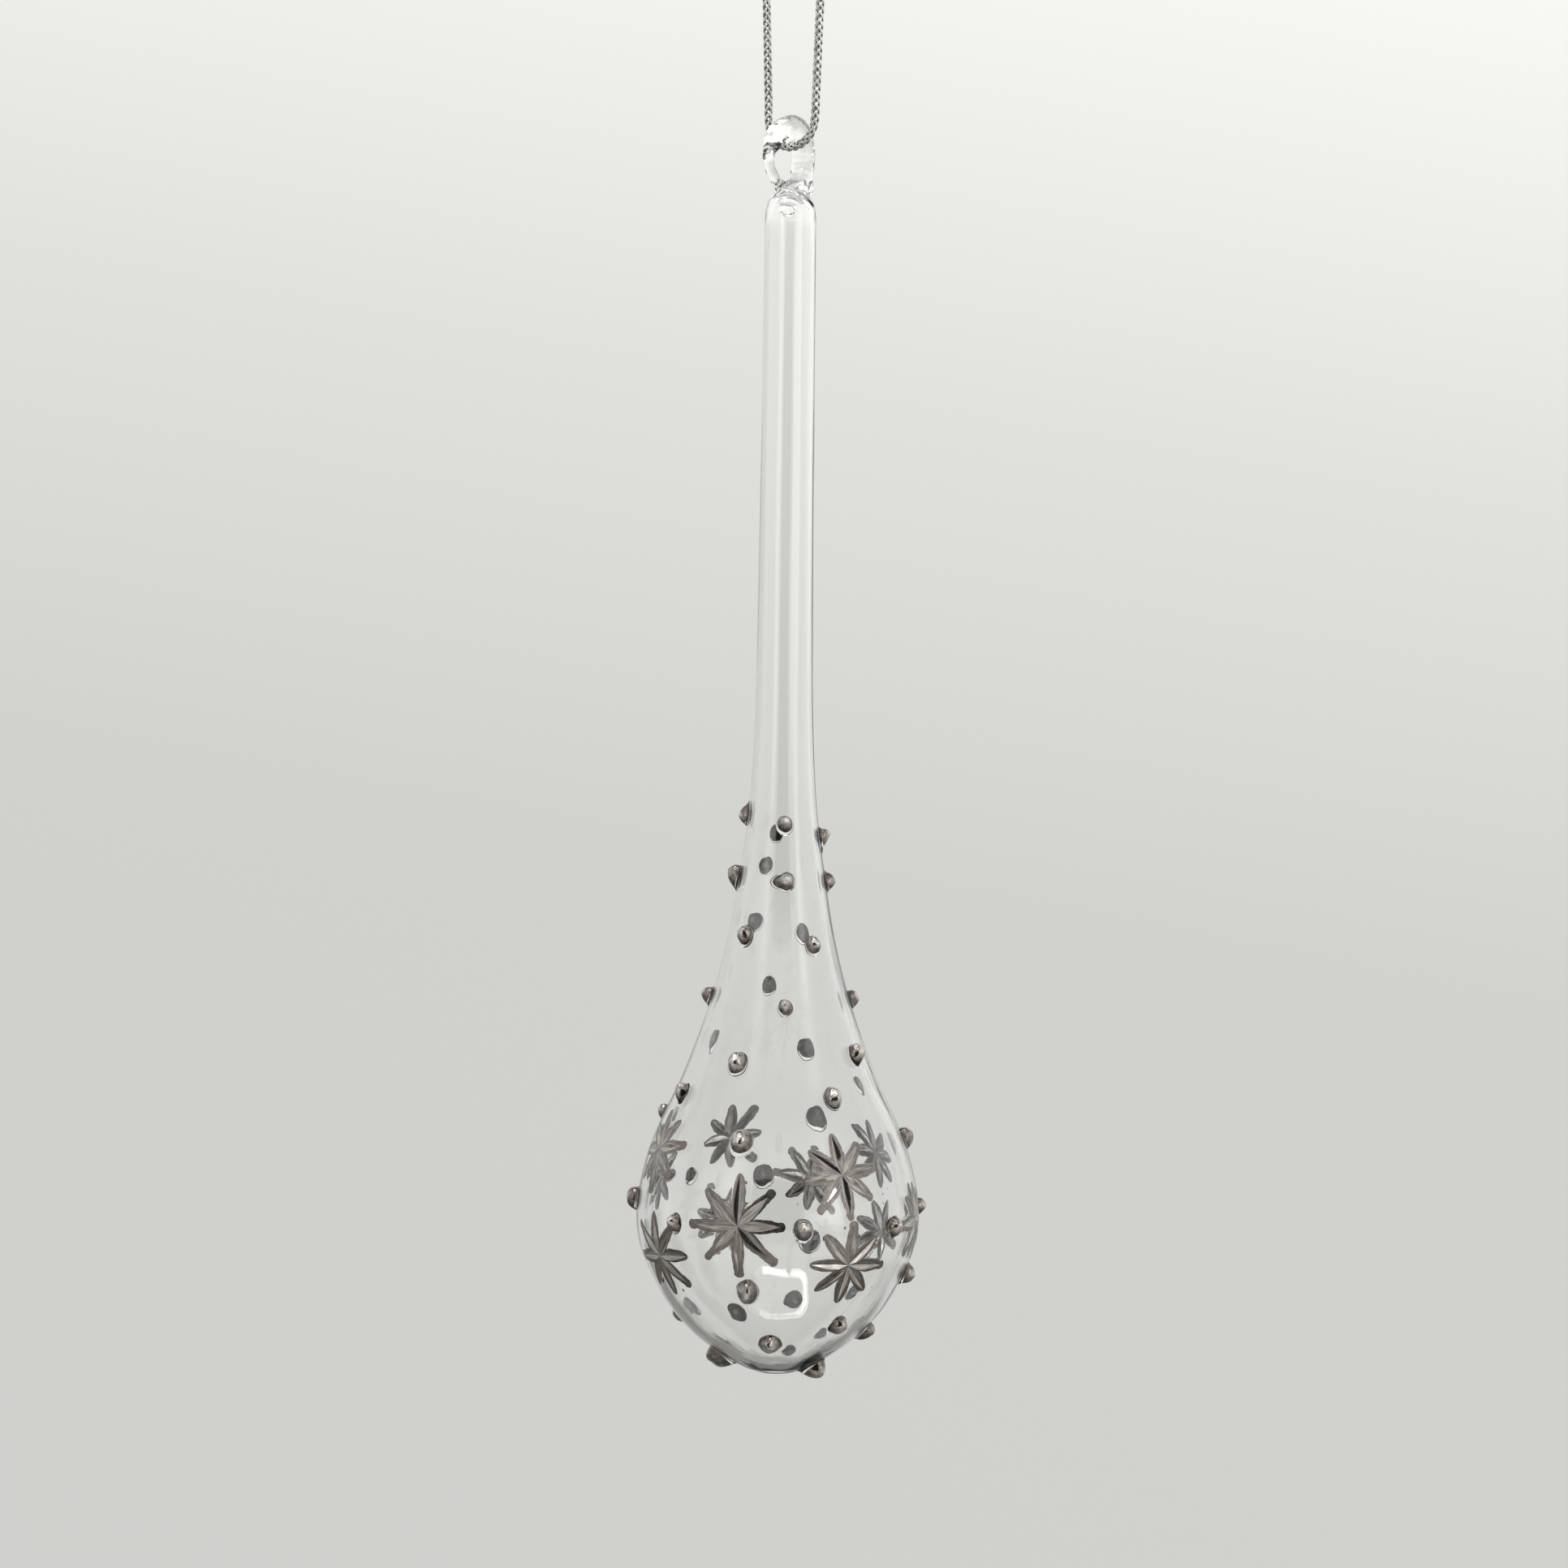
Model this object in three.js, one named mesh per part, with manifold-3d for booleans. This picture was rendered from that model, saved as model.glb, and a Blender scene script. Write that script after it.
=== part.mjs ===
// Icicle drop ornament: a hollow blown-glass drop on a long stem, with a solid glass eye,
// platinum-tipped glass nubs, wheel-cut platinum stars and a braided hanging cord.
// Millimetres, +Z up. The origin is the hanging point, inside the top of the cord loop.
import * as THREE from 'three';
import { mergeVertices } from 'three/addons/utils/BufferGeometryUtils.js';
import Module from 'manifold-3d';

const wasm = await Module();
wasm.setup();

// Driving dimensions, in millimetres and degrees.
const GLASS_HEIGHT = 140; // top of the eye to the tip of the drop
const LOOP_HEIGHT = 54; // hanging point to the top of the eye
const TIP_Z = -(LOOP_HEIGHT + GLASS_HEIGHT);
const CLEARANCE = 0.05; // between pieces that are fused or rest on each other

const DROP_WALL = 0.85; // blown wall of the drop
const STEM_WALL = 0.5; // the same glass, drawn thinner with the stem
const WALL_CHANGES = [30, 70]; // heights between which it thins
const TIP_EXTRA_WALL = 0.4; // the glass gathers at the tip
const TIP_WALL_REACH = 3;
const GLASS_SIDES = 36;

// Outer outline of the drop and stem: radius and height above the tip.
const OUTLINE = [
  [0, 0], [2.3, 0.3], [4.8, 1.4], [7.7, 3.3], [9.9, 5.2], [12.1, 7.8], [14, 11.2], [15.3, 14.4],
  [15.7, 17.8], [15.3, 21.4], [14.3, 25.1], [12.8, 28.8], [11, 32.6], [9.2, 37.2], [7.6, 42],
  [6.2, 47.3], [5.2, 52.6], [4.4, 58], [3.7, 64], [3.25, 73], [3.1, 85], [3, 100], [2.9, 115],
  [2.85, 127.4],
];
const OUTLINE_STEPS = 30;
const SHOULDER = { bulge: [2.88, 129.8], end: [2, 131.05], steps: 4, opening: 1.15 };

// Solid glass eye, a rod pulled thin as it is bent round; path points are [across, height].
const EYE_TURN = 55; // about Z, from the part's X axis to the plane of the ring
const EYE_PATH = [
  [1, 131.9], [2, 133.1], [2.35, 135], [1.95, 137.1], [0.6, 138.45], [-1.1, 138.3],
  [-2.5, 137.6], [-3.5, 136.7], [-4.2, 135.5], [-4.3, 134.2], [-3.6, 132.9], [-2.1, 131.95],
  [-1, 131.8],
];
const EYE_ROD_RADIUS = 1.5;
const EYE_LIMB_RADIUS = 1.3;
const EYE_THREAD_RADIUS = 0.58;
const EYE_STEPS = 34;
const EYE_SIDES = 10;
const EYE_TAPER = { thickens: [0.2, 0.36], thins: [0.5, 0.75] }; // shares of the path
const NECK_SIDES = 14;
const NECK_OUTLINE = [
  [0, 128.7], [0.45, 128.8], [0.72, 129.2], [0.8, 130], [0.85, 131.1], [1.97, 131.1],
  [1.95, 131.6], [1.7, 132.15], [0.9, 132.5], [0, 132.55],
];
const CURL = { across: 2.6, front: 0.9, height: 131.95, radius: 0.75 };

// Braided cord: its lowest point hangs in the eye and both ends go into the knot.
const CORD_RADIUS = 0.52;
const CORD_SIDES = 8;
const CORD_TURN = -35; // about Z, from the part's X axis to the plane of the loop
const BIGHT = { z: TIP_Z + 136.3, radius: 3.1, angles: [30, 60, 85], steps: 28 };
// Right-hand half, from the bight's end to the split at Z -50, and on up into the knot:
// [across, Z]. The loop is split so that the bight can turn on its own.
const BIGHT_LEG = [[3.2, -52.4], [3.29, -50.15]];
const CORD_RUN = [
  [3.3, -49.85], [3.45, -46], [3.75, -38], [3.95, -30], [3.9, -22], [3.45, -14.5], [2.7, -8],
  [1.85, -3.4], [1.2, -0.9], [0.8, 0.2], [0.62, 0.95], [0.6, 1.6],
];
const RUN_STEPS = 26;
const KNOT_OUTLINE = [
  [0, 1.05], [1.3, 1.05], [2, 1.8], [2.15, 2.7], [1.8, 3.7], [0.9, 4.3], [0, 4.35],
];
const KNOT_SIDES = 12;
const TAIL = [[0.5, 3.6], [1.1, 5.1], [2, 6.6], [3.2, 7.9]];
const TAIL_STEPS = 5;

// Platinum film in the stars. Ratios are of a ray's length.
const STAR = { rays: 8, halfWidth: 0.8, film: 0.12, notch: 0.3, shoulder: 0.6 };
const STAR_CUTTER_DEPTH = 5;
const STAR_TO_NUB = 0.1;

// Nub, from its foot inside the glass to its head: [radius, height] in base radii. The head
// leans up the glass.
const NUB_OUTLINE = [
  [0, -0.6], [0.9, -0.6], [1, 0], [0.88, 0.3], [0.7, 0.65], [0.42, 0.93], [0, 1.05],
];
const NUB_LEAN = 0.3;
const NUB_SIDES = 9;

// Stars: [azimuth, height, ray length, turn]; azimuth 0 faces -Y and 90 faces +X.
const STARS = [
  [28, 23.4, 4.6, 8], [128, 23.9, 4.4, 3], [165, 20.2, 4.1, 10], [204, 25, 4.1, -8],
  [248, 21.3, 4.4, 0], [293, 25.4, 4.5, 8], [344, 17.9, 5.7, 0], [31, 13.6, 5, -3],
  [76, 17.7, 4.6, 5], [128, 14.8, 4.4, 18], [204, 15.3, 4.5, 20], [302, 13.8, 5, 5],
];
// Nubs on the flare of the stem and on the drop: [azimuth, height, base radius].
const FLARE_NUBS = [
  [270, 61.8, 1], [3, 60.9, 1.05], [192, 59.9, 1], [91, 59.7, 1.1],
  [205, 56.3, 1], [268, 55.2, 1.2], [6, 54.7, 1.1], [98, 54.5, 1.1],
  [319, 48.7, 1.1], [214, 49.9, 1], [35, 47.7, 1.1], [154, 48.6, 1.15],
  [262, 41.7, 1.15], [100, 41.5, 1.2], [191, 42.6, 1.05], [4, 41, 0.95],
];
const DROP_NUBS = [
  [240, 36.8, 1.1], [333, 34.9, 1.3], [161, 35.3, 1.3], [58, 35.8, 1.2],
  [122, 31.7, 1.1], [295, 31.3, 1.2], [258, 28.6, 1.1], [30, 31.3, 1.25], [160, 27.2, 1.5],
  [343, 26.6, 1.5], [100, 25.9, 1.3], [186, 20.4, 1.3], [268, 19.2, 1.3], [100, 18.4, 1.1],
  [315, 17.7, 1.15], [10, 17.5, 1.3], [165, 12.9, 1.5], [54, 17.4, 1.1], [86, 11.4, 1.25],
  [347, 10.7, 1.4], [170, 6.6, 1.3], [208, 5.1, 1.4], [250, 6.2, 1.3], [36, 6.7, 1.2],
  [92, 4.9, 1.25], [356, 4.6, 1.4], [265, 2, 1.7], [60, 1.3, 1.6],
];

// Materials.
const clearGlass = () => new THREE.MeshStandardMaterial({
  color: 0xe9ecea, roughness: 0.03, metalness: 0, transparent: true, opacity: 0.35,
});
const platinumNub = () => new THREE.MeshStandardMaterial({
  color: 0x8f8983, roughness: 0.12, metalness: 1,
});
const platinumStar = () => new THREE.MeshStandardMaterial({
  color: 0x88827b, roughness: 0.3, metalness: 1,
});
const silverBraid = () => new THREE.MeshStandardMaterial({
  color: 0xa9a9a7, roughness: 0.4, metalness: 0.7,
});

// Solids: three.js geometry to manifold-3d and back, for cuts and joins.
function toSolid(geometry) {
  const bare = geometry.clone();
  bare.deleteAttribute('normal');
  bare.deleteAttribute('uv');
  const merged = mergeVertices(bare, 1e-4);
  return new wasm.Manifold(new wasm.Mesh({
    numProp: 3,
    vertProperties: merged.attributes.position.array,
    triVerts: merged.index.array,
  }));
}

function toGeometry(solid) {
  const { vertProperties, triVerts } = solid.getMesh();
  const geometry = new THREE.BufferGeometry();
  geometry.setAttribute('position', new THREE.BufferAttribute(vertProperties, 3));
  geometry.setIndex(new THREE.BufferAttribute(triVerts, 1));
  geometry.computeVertexNormals();
  return geometry;
}

function namedMesh(name, geometry, material) {
  const mesh = new THREE.Mesh(geometry, material);
  mesh.name = name;
  return mesh;
}

// A turned solid about Z from [radius, height] pairs, listed from the bottom up.
function turned(outline, sides) {
  const points = outline.map(([radius, height]) => new THREE.Vector2(radius, height));
  return new THREE.LatheGeometry(points, sides).rotateX(Math.PI / 2);
}

// The glass outline, offset along its own normal, from the tip to the shoulder.
const bodyCurve = new THREE.SplineCurve(OUTLINE.map(([r, h]) => new THREE.Vector2(r, h)));
const shoulderCurve = new THREE.QuadraticBezierCurve(
  new THREE.Vector2(...OUTLINE.at(-1)),
  new THREE.Vector2(...SHOULDER.bulge),
  new THREE.Vector2(...SHOULDER.end),
);

function offsetPoint(curve, t, offset) {
  const point = curve.getPoint(t);
  const tangent = curve.getTangent(t);
  return [Math.max(0, point.x + tangent.y * offset), point.y - tangent.x * offset];
}

function glassOutline(offsetAt) {
  const outline = [[0, -offsetAt(0)]];
  for (let i = 1; i <= OUTLINE_STEPS; i += 1) {
    const t = i / OUTLINE_STEPS;
    outline.push(offsetPoint(bodyCurve, t, offsetAt(bodyCurve.getPoint(t).y)));
  }
  for (let i = 1; i < SHOULDER.steps; i += 1) {
    outline.push(offsetPoint(shoulderCurve, i / SHOULDER.steps, offsetAt(GLASS_HEIGHT)));
  }
  return outline;
}

function wallAt(height) {
  const thinner = THREE.MathUtils.smoothstep(height, ...WALL_CHANGES);
  const tip = TIP_EXTRA_WALL * Math.exp(-height / TIP_WALL_REACH);
  return DROP_WALL + (STEM_WALL - DROP_WALL) * thinner + tip;
}

function glassDrop() {
  const outer = glassOutline(() => 0);
  const inner = glassOutline((height) => -wallAt(height)).reverse();
  const rim = [SHOULDER.end, [SHOULDER.opening, SHOULDER.end[1]]];
  return turned([...outer, ...rim, ...inner], GLASS_SIDES);
}

// The whole glass as a solid, grown by a clearance, for fitting what is fused onto it.
function glassEnvelope(clearance) {
  return toSolid(turned([...glassOutline(() => clearance), [0, SHOULDER.end[1]]], GLASS_SIDES));
}

// A thin layer that wraps the drop, from which the star films are cut.
function filmLayer() {
  const outer = glassEnvelope(CLEARANCE + STAR.film);
  return outer.subtract(glassEnvelope(CLEARANCE));
}

// The place on the glass at an azimuth and height: +Z outward, +Y up along the glass.
function placeOnGlass(azimuth, height) {
  let low = 0;
  let high = 1;
  while (high - low > 1e-6) {
    const middle = (low + high) / 2;
    if (bodyCurve.getPoint(middle).y < height) low = middle;
    else high = middle;
  }
  const point = bodyCurve.getPoint(low);
  const tangent = bodyCurve.getTangent(low);
  const angle = THREE.MathUtils.degToRad(azimuth);
  const radial = new THREE.Vector3(Math.sin(angle), -Math.cos(angle), 0);
  const up = radial.clone().multiplyScalar(tangent.x).setZ(tangent.y);
  const outward = radial.clone().multiplyScalar(tangent.y).setZ(-tangent.x);
  const place = new THREE.Matrix4().makeBasis(up.clone().cross(outward), up, outward);
  return place.setPosition(radial.multiplyScalar(point.x).setZ(point.y));
}

// A rod whose radius changes along a curve, closed with flat ends.
function taperedRod(curve, radiusAt, steps, sides) {
  const frames = curve.computeFrenetFrames(steps);
  const positions = [];
  const index = [];
  for (let i = 0; i <= steps; i += 1) {
    const centre = curve.getPointAt(i / steps);
    for (let j = 0; j < sides; j += 1) {
      const angle = (2 * Math.PI * j) / sides;
      const arm = frames.normals[i].clone().multiplyScalar(Math.cos(angle));
      arm.addScaledVector(frames.binormals[i], Math.sin(angle));
      positions.push(...centre.clone().addScaledVector(arm, radiusAt(i / steps)).toArray());
    }
  }
  for (let i = 0; i < steps; i += 1) {
    for (let j = 0; j < sides; j += 1) {
      const a = i * sides + j;
      const b = i * sides + ((j + 1) % sides);
      index.push(a, b, b + sides, a, b + sides, a + sides);
    }
  }
  const last = steps * sides;
  for (let j = 1; j < sides - 1; j += 1) {
    index.push(0, j + 1, j, last, last + j, last + j + 1);
  }
  const geometry = new THREE.BufferGeometry();
  geometry.setAttribute('position', new THREE.Float32BufferAttribute(positions, 3));
  geometry.setIndex(index);
  return geometry;
}

function glassEye() {
  const path = new THREE.CatmullRomCurve3(EYE_PATH.map(([u, z]) => new THREE.Vector3(u, 0, z)));
  const { smoothstep } = THREE.MathUtils;
  const radiusAt = (t) => EYE_LIMB_RADIUS
    + (EYE_ROD_RADIUS - EYE_LIMB_RADIUS) * smoothstep(t, ...EYE_TAPER.thickens)
    - (EYE_ROD_RADIUS - EYE_THREAD_RADIUS) * smoothstep(t, ...EYE_TAPER.thins);
  const rod = toSolid(taperedRod(path, radiusAt, EYE_STEPS, EYE_SIDES));
  const neck = toSolid(turned(NECK_OUTLINE, NECK_SIDES));
  const curl = new THREE.IcosahedronGeometry(CURL.radius, 1);
  curl.translate(CURL.across, -CURL.front, CURL.height);
  return toGeometry(rod.add(neck).add(toSolid(curl)));
}

// A round cord section swept along [across, Z] points in the XZ plane.
function cordTube(points, steps) {
  const path = new THREE.CatmullRomCurve3(points.map(([x, z]) => new THREE.Vector3(x, 0, z)));
  const section = new THREE.Shape();
  for (let i = 0; i < CORD_SIDES; i += 1) {
    const angle = (2 * Math.PI * (i + 0.5)) / CORD_SIDES;
    const corner = [CORD_RADIUS * Math.cos(angle), CORD_RADIUS * Math.sin(angle)];
    if (i === 0) section.moveTo(...corner);
    else section.lineTo(...corner);
  }
  return new THREE.ExtrudeGeometry(section, { steps, extrudePath: path });
}

// The U that hangs in the eye, as a solid of its own.
function cordBight() {
  const bend = BIGHT.angles.map((degrees) => {
    const angle = THREE.MathUtils.degToRad(degrees);
    return [BIGHT.radius * Math.sin(angle), BIGHT.z + BIGHT.radius * (1 - Math.cos(angle))];
  });
  const right = [...bend, ...BIGHT_LEG];
  const left = right.map(([x, z]) => [-x, z]).reverse();
  return cordTube([...left, [0, BIGHT.z], ...right], BIGHT.steps);
}

// Both runs of the loop, joined by the knot, with its two tails.
function knottedCord() {
  const lump = toSolid(turned(KNOT_OUTLINE, KNOT_SIDES));
  const run = toSolid(cordTube(CORD_RUN, RUN_STEPS));
  const tail = toSolid(cordTube(TAIL, TAIL_STEPS));
  const half = run.add(tail);
  return toGeometry(half.add(half.mirror([1, 0, 0])).add(lump));
}

// A bead of glass with a rounded head, its foot cut to the curve of the glass under it.
function nub(name, [azimuth, height, radius], envelope) {
  const bead = turned(NUB_OUTLINE.map(([r, z]) => [radius * r, radius * z]), NUB_SIDES);
  bead.applyMatrix4(new THREE.Matrix4().makeShear(0, 0, 0, 0, 0, NUB_LEAN));
  const place = placeOnGlass(azimuth, height);
  const glass = envelope.transform(place.clone().invert().toArray());
  const mesh = namedMesh(name, toGeometry(toSolid(bead).subtract(glass)), platinumNub());
  mesh.applyMatrix4(place);
  return mesh;
}

// Round-ended rays that run together near the middle.
function starShape(length) {
  const shape = new THREE.Shape();
  const pitch = (2 * Math.PI) / STAR.rays;
  const at = (along, across, angle) => [
    along * Math.cos(angle) - across * Math.sin(angle),
    along * Math.sin(angle) + across * Math.cos(angle),
  ];
  const notch = STAR.notch * length;
  const shoulder = STAR.shoulder * length;
  const bulge = STAR.halfWidth * 1.3;
  for (let ray = 0; ray < STAR.rays; ray += 1) {
    const angle = ray * pitch + Math.PI / 2;
    const tip = at(length, 0, angle);
    if (ray === 0) shape.moveTo(...at(notch, 0, angle - pitch / 2));
    shape.bezierCurveTo(...at(shoulder, -bulge, angle), ...at(length, -bulge, angle), ...tip);
    shape.bezierCurveTo(
      ...at(length, bulge, angle),
      ...at(shoulder, bulge, angle),
      ...at(notch, 0, angle + pitch / 2),
    );
  }
  return shape;
}

// Cuts the film back from a nub that stands in its way.
function clearOfNub(film, [azimuth, height, radius], inverse) {
  const around = radius + STAR_TO_NUB;
  const cutter = new THREE.CylinderGeometry(around, around, STAR_CUTTER_DEPTH, NUB_SIDES);
  cutter.rotateX(Math.PI / 2).applyMatrix4(placeOnGlass(azimuth, height)).applyMatrix4(inverse);
  return film.subtract(toSolid(cutter));
}

// A star of platinum film that follows the curve of the drop.
function star(name, [azimuth, height, length, turn], layer, nubs) {
  const prism = new THREE.ExtrudeGeometry(starShape(length), {
    depth: STAR_CUTTER_DEPTH, steps: 1, curveSegments: 3, bevelEnabled: false,
  });
  prism.translate(0, 0, -STAR_CUTTER_DEPTH / 2).rotateZ(THREE.MathUtils.degToRad(turn));
  const place = placeOnGlass(azimuth, height);
  const inverse = place.clone().invert();
  let film = toSolid(prism).intersect(layer.transform(inverse.toArray()));
  const middle = new THREE.Vector3().setFromMatrixPosition(place);
  for (const row of nubs) {
    const foot = new THREE.Vector3().setFromMatrixPosition(placeOnGlass(row[0], row[1]));
    if (foot.distanceTo(middle) < length + 2 * row[2]) film = clearOfNub(film, row, inverse);
  }
  const mesh = namedMesh(name, toGeometry(film), platinumStar());
  mesh.applyMatrix4(place);
  return mesh;
}

function numbered(stem, i) {
  return `${stem}_${String(i + 1).padStart(2, '0')}`;
}

function buildGlass() {
  const glass = new THREE.Group();
  glass.position.z = TIP_Z;
  glass.add(namedMesh('glass_drop', glassDrop(), clearGlass()));
  const eye = namedMesh('glass_eye', glassEye(), clearGlass());
  eye.rotation.z = THREE.MathUtils.degToRad(EYE_TURN);
  glass.add(eye);
  const envelope = glassEnvelope(CLEARANCE);
  FLARE_NUBS.forEach((row, i) => glass.add(nub(numbered('flare_nub', i), row, envelope)));
  DROP_NUBS.forEach((row, i) => glass.add(nub(numbered('drop_nub', i), row, envelope)));
  const layer = filmLayer();
  STARS.forEach((row, i) => glass.add(star(numbered('cut_star', i), row, layer, DROP_NUBS)));
  return glass;
}

function buildCord() {
  const cord = new THREE.Group();
  cord.rotation.z = THREE.MathUtils.degToRad(CORD_TURN);
  cord.add(namedMesh('hanging_cord', knottedCord(), silverBraid()));
  cord.add(namedMesh('cord_bight', cordBight(), silverBraid()));
  return cord;
}

const ornament = new THREE.Group();
ornament.add(buildCord(), buildGlass());

export default ornament;
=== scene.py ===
import math
import random

import bmesh
import bpy
import numpy as np
from mathutils import Matrix, Vector, noise


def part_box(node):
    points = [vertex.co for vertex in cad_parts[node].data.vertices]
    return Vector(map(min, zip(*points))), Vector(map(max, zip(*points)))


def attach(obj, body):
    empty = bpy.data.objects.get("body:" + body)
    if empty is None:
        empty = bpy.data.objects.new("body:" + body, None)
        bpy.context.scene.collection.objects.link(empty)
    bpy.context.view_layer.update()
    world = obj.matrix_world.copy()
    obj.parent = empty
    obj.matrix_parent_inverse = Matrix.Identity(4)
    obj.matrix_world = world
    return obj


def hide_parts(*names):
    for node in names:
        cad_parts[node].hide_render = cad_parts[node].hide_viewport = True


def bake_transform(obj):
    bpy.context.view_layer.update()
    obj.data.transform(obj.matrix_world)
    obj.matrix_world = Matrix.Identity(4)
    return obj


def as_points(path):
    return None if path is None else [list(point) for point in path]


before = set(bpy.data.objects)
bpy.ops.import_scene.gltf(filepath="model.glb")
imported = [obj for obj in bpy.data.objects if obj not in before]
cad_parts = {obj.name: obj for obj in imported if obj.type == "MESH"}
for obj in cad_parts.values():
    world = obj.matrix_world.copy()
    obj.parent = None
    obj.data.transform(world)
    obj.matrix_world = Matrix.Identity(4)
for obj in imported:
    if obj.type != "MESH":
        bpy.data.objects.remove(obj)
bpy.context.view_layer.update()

MM = 0.001
TIP_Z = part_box("glass_drop")[0][2]

# The drop, repeated from the CAD source: radius and height above the tip, in millimetres.
OUTLINE = [
    (0, 0), (2.3, 0.3), (4.8, 1.4), (7.7, 3.3), (9.9, 5.2), (12.1, 7.8), (14, 11.2),
    (15.3, 14.4), (15.7, 17.8), (15.3, 21.4), (14.3, 25.1), (12.8, 28.8), (11, 32.6),
    (9.2, 37.2), (7.6, 42), (6.2, 47.3), (5.2, 52.6), (4.4, 58), (3.7, 64), (3.25, 73),
    (3.1, 85), (3, 100), (2.9, 115), (2.85, 127.4),
]
SHOULDER = [(2.85, 127.4), (2.83, 128.5), (2.7, 129.5), (2.42, 130.4), (2.02, 131.05),
            (1.5, 131.4), (0.8, 131.5), (0, 131.55)]
# Inside of the stem's top, from the bore to the drip of glass that hangs in it.
CEILING = [(2.35, 127.4), (2.28, 128.4), (2.05, 129.4), (1.7, 130.1), (1.35, 130.4),
           (1.08, 130.1), (0.95, 129.6), (0.8, 129.05), (0.5, 128.7), (0, 128.58)]
DRIP_SHIFT = -0.35  # of the drip's middle along X
STEM_WALL = 0.5
DROP_WALL = 0.85
WALL_CHANGES = (30, 70)  # from the drop's wall to the stem's, by distance from the tip
TIP_EXTRA_WALL = 0.4
TIP_WALL_REACH = 3

# Stars: azimuth (0 faces -Y, 90 faces +X), height, ray length and turn, from the CAD source.
STARS = [
    (28, 23.4, 4.6, 8), (128, 23.9, 4.4, 3), (165, 20.2, 4.1, 10), (204, 25, 4.1, -8),
    (248, 21.3, 4.4, 0), (293, 25.4, 4.5, 8), (344, 17.9, 5.7, 0), (31, 13.6, 5, -3),
    (76, 17.7, 4.6, 5), (128, 14.8, 4.4, 18), (204, 15.3, 4.5, 20), (302, 13.8, 5, 5),
]
# Nubs: azimuth, height and base radius, from the CAD source.
FLARE_NUBS = [
    (270, 61.8, 1), (3, 60.9, 1.05), (192, 59.9, 1), (91, 59.7, 1.1),
    (205, 56.3, 1), (268, 55.2, 1.2), (6, 54.7, 1.1), (98, 54.5, 1.1),
    (319, 48.7, 1.1), (214, 49.9, 1), (35, 47.7, 1.1), (154, 48.6, 1.15),
    (262, 41.7, 1.15), (100, 41.5, 1.2), (191, 42.6, 1.05), (4, 41, 0.95),
]
DROP_NUBS = [
    (240, 36.8, 1.1), (333, 34.9, 1.3), (161, 35.3, 1.3), (58, 35.8, 1.2),
    (122, 31.7, 1.1), (295, 31.3, 1.2), (258, 28.6, 1.1), (30, 31.3, 1.25), (160, 27.2, 1.5),
    (343, 26.6, 1.5), (100, 25.9, 1.3), (186, 20.4, 1.3), (268, 19.2, 1.3), (100, 18.4, 1.1),
    (315, 17.7, 1.15), (10, 17.5, 1.3), (165, 12.9, 1.5), (54, 17.4, 1.1), (86, 11.4, 1.25),
    (347, 10.7, 1.4), (170, 6.6, 1.3), (208, 5.1, 1.4), (250, 6.2, 1.3), (36, 6.7, 1.2),
    (92, 4.9, 1.25), (356, 4.6, 1.4), (265, 2, 1.7), (60, 1.3, 1.6),
]
# Stars whose rays are known one by one: share of the ray that is cut, and how far the film
# runs on past the cut. The first ray points up, the next ones follow to the left.
KNOWN_RAYS = {
    0: [(0.98, 0.05), (0.95, 0.1), (0.97, 0.1), (0.85, 1.3), (0.95, 0.7), (0.88, 0.6),
        (0.95, 0.35), (0.86, 0.4)],
    6: [(0.97, 0.05), (0.93, 0.1), (0.86, 1.0), (0.68, 1.5), (0.88, 0.8), (0.74, 1.7),
        (0.82, 0.6), (0.8, 1.0)],
}
# Small nubs that have no CAD node.
EXTRA_NUBS = [(136, 3.2, 0.9), (161, 1.3, 0.9), (133, 7.8, 1), (223, 20.8, 1)]

# Cord route, from the CAD source: [across, Z] in millimetres, in the plane of the loop.
CORD_TURN = math.radians(-35)
BIGHT_Z = -57.7
BIGHT_RADIUS = 3.1
BIGHT_ANGLES = (30, 60, 85)
CORD_RUN = [
    (3.2, -52.4), (3.29, -50.15), (3.3, -49.85), (3.45, -46), (3.75, -38), (3.95, -30),
    (3.9, -22), (3.45, -14.5), (2.7, -8), (1.85, -3.4), (1.2, -0.9), (0.8, 0.2), (0.62, 0.95),
    (0.6, 1.6),
]

# Eye: a rod bent round in a plane turned by EYE_TURN, [across, height, radius].
EYE_TURN = math.radians(55)
EYE_PATH = [
    (1, 131.7, 1.25), (1.9, 133.1, 1.28), (2.3, 135, 1.3), (1.95, 137.1, 1.38),
    (0.6, 138.35, 1.5), (-0.9, 138.1, 1.5), (-2.2, 137.45, 1.45), (-3.3, 136.65, 1.15),
    (-4.1, 135.5, 0.8), (-4.3, 134.2, 0.6), (-3.6, 132.8, 0.56), (-2.1, 131.95, 0.6),
    (-1, 131.7, 0.7),
]


# ------------ curves and surfaces


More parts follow.
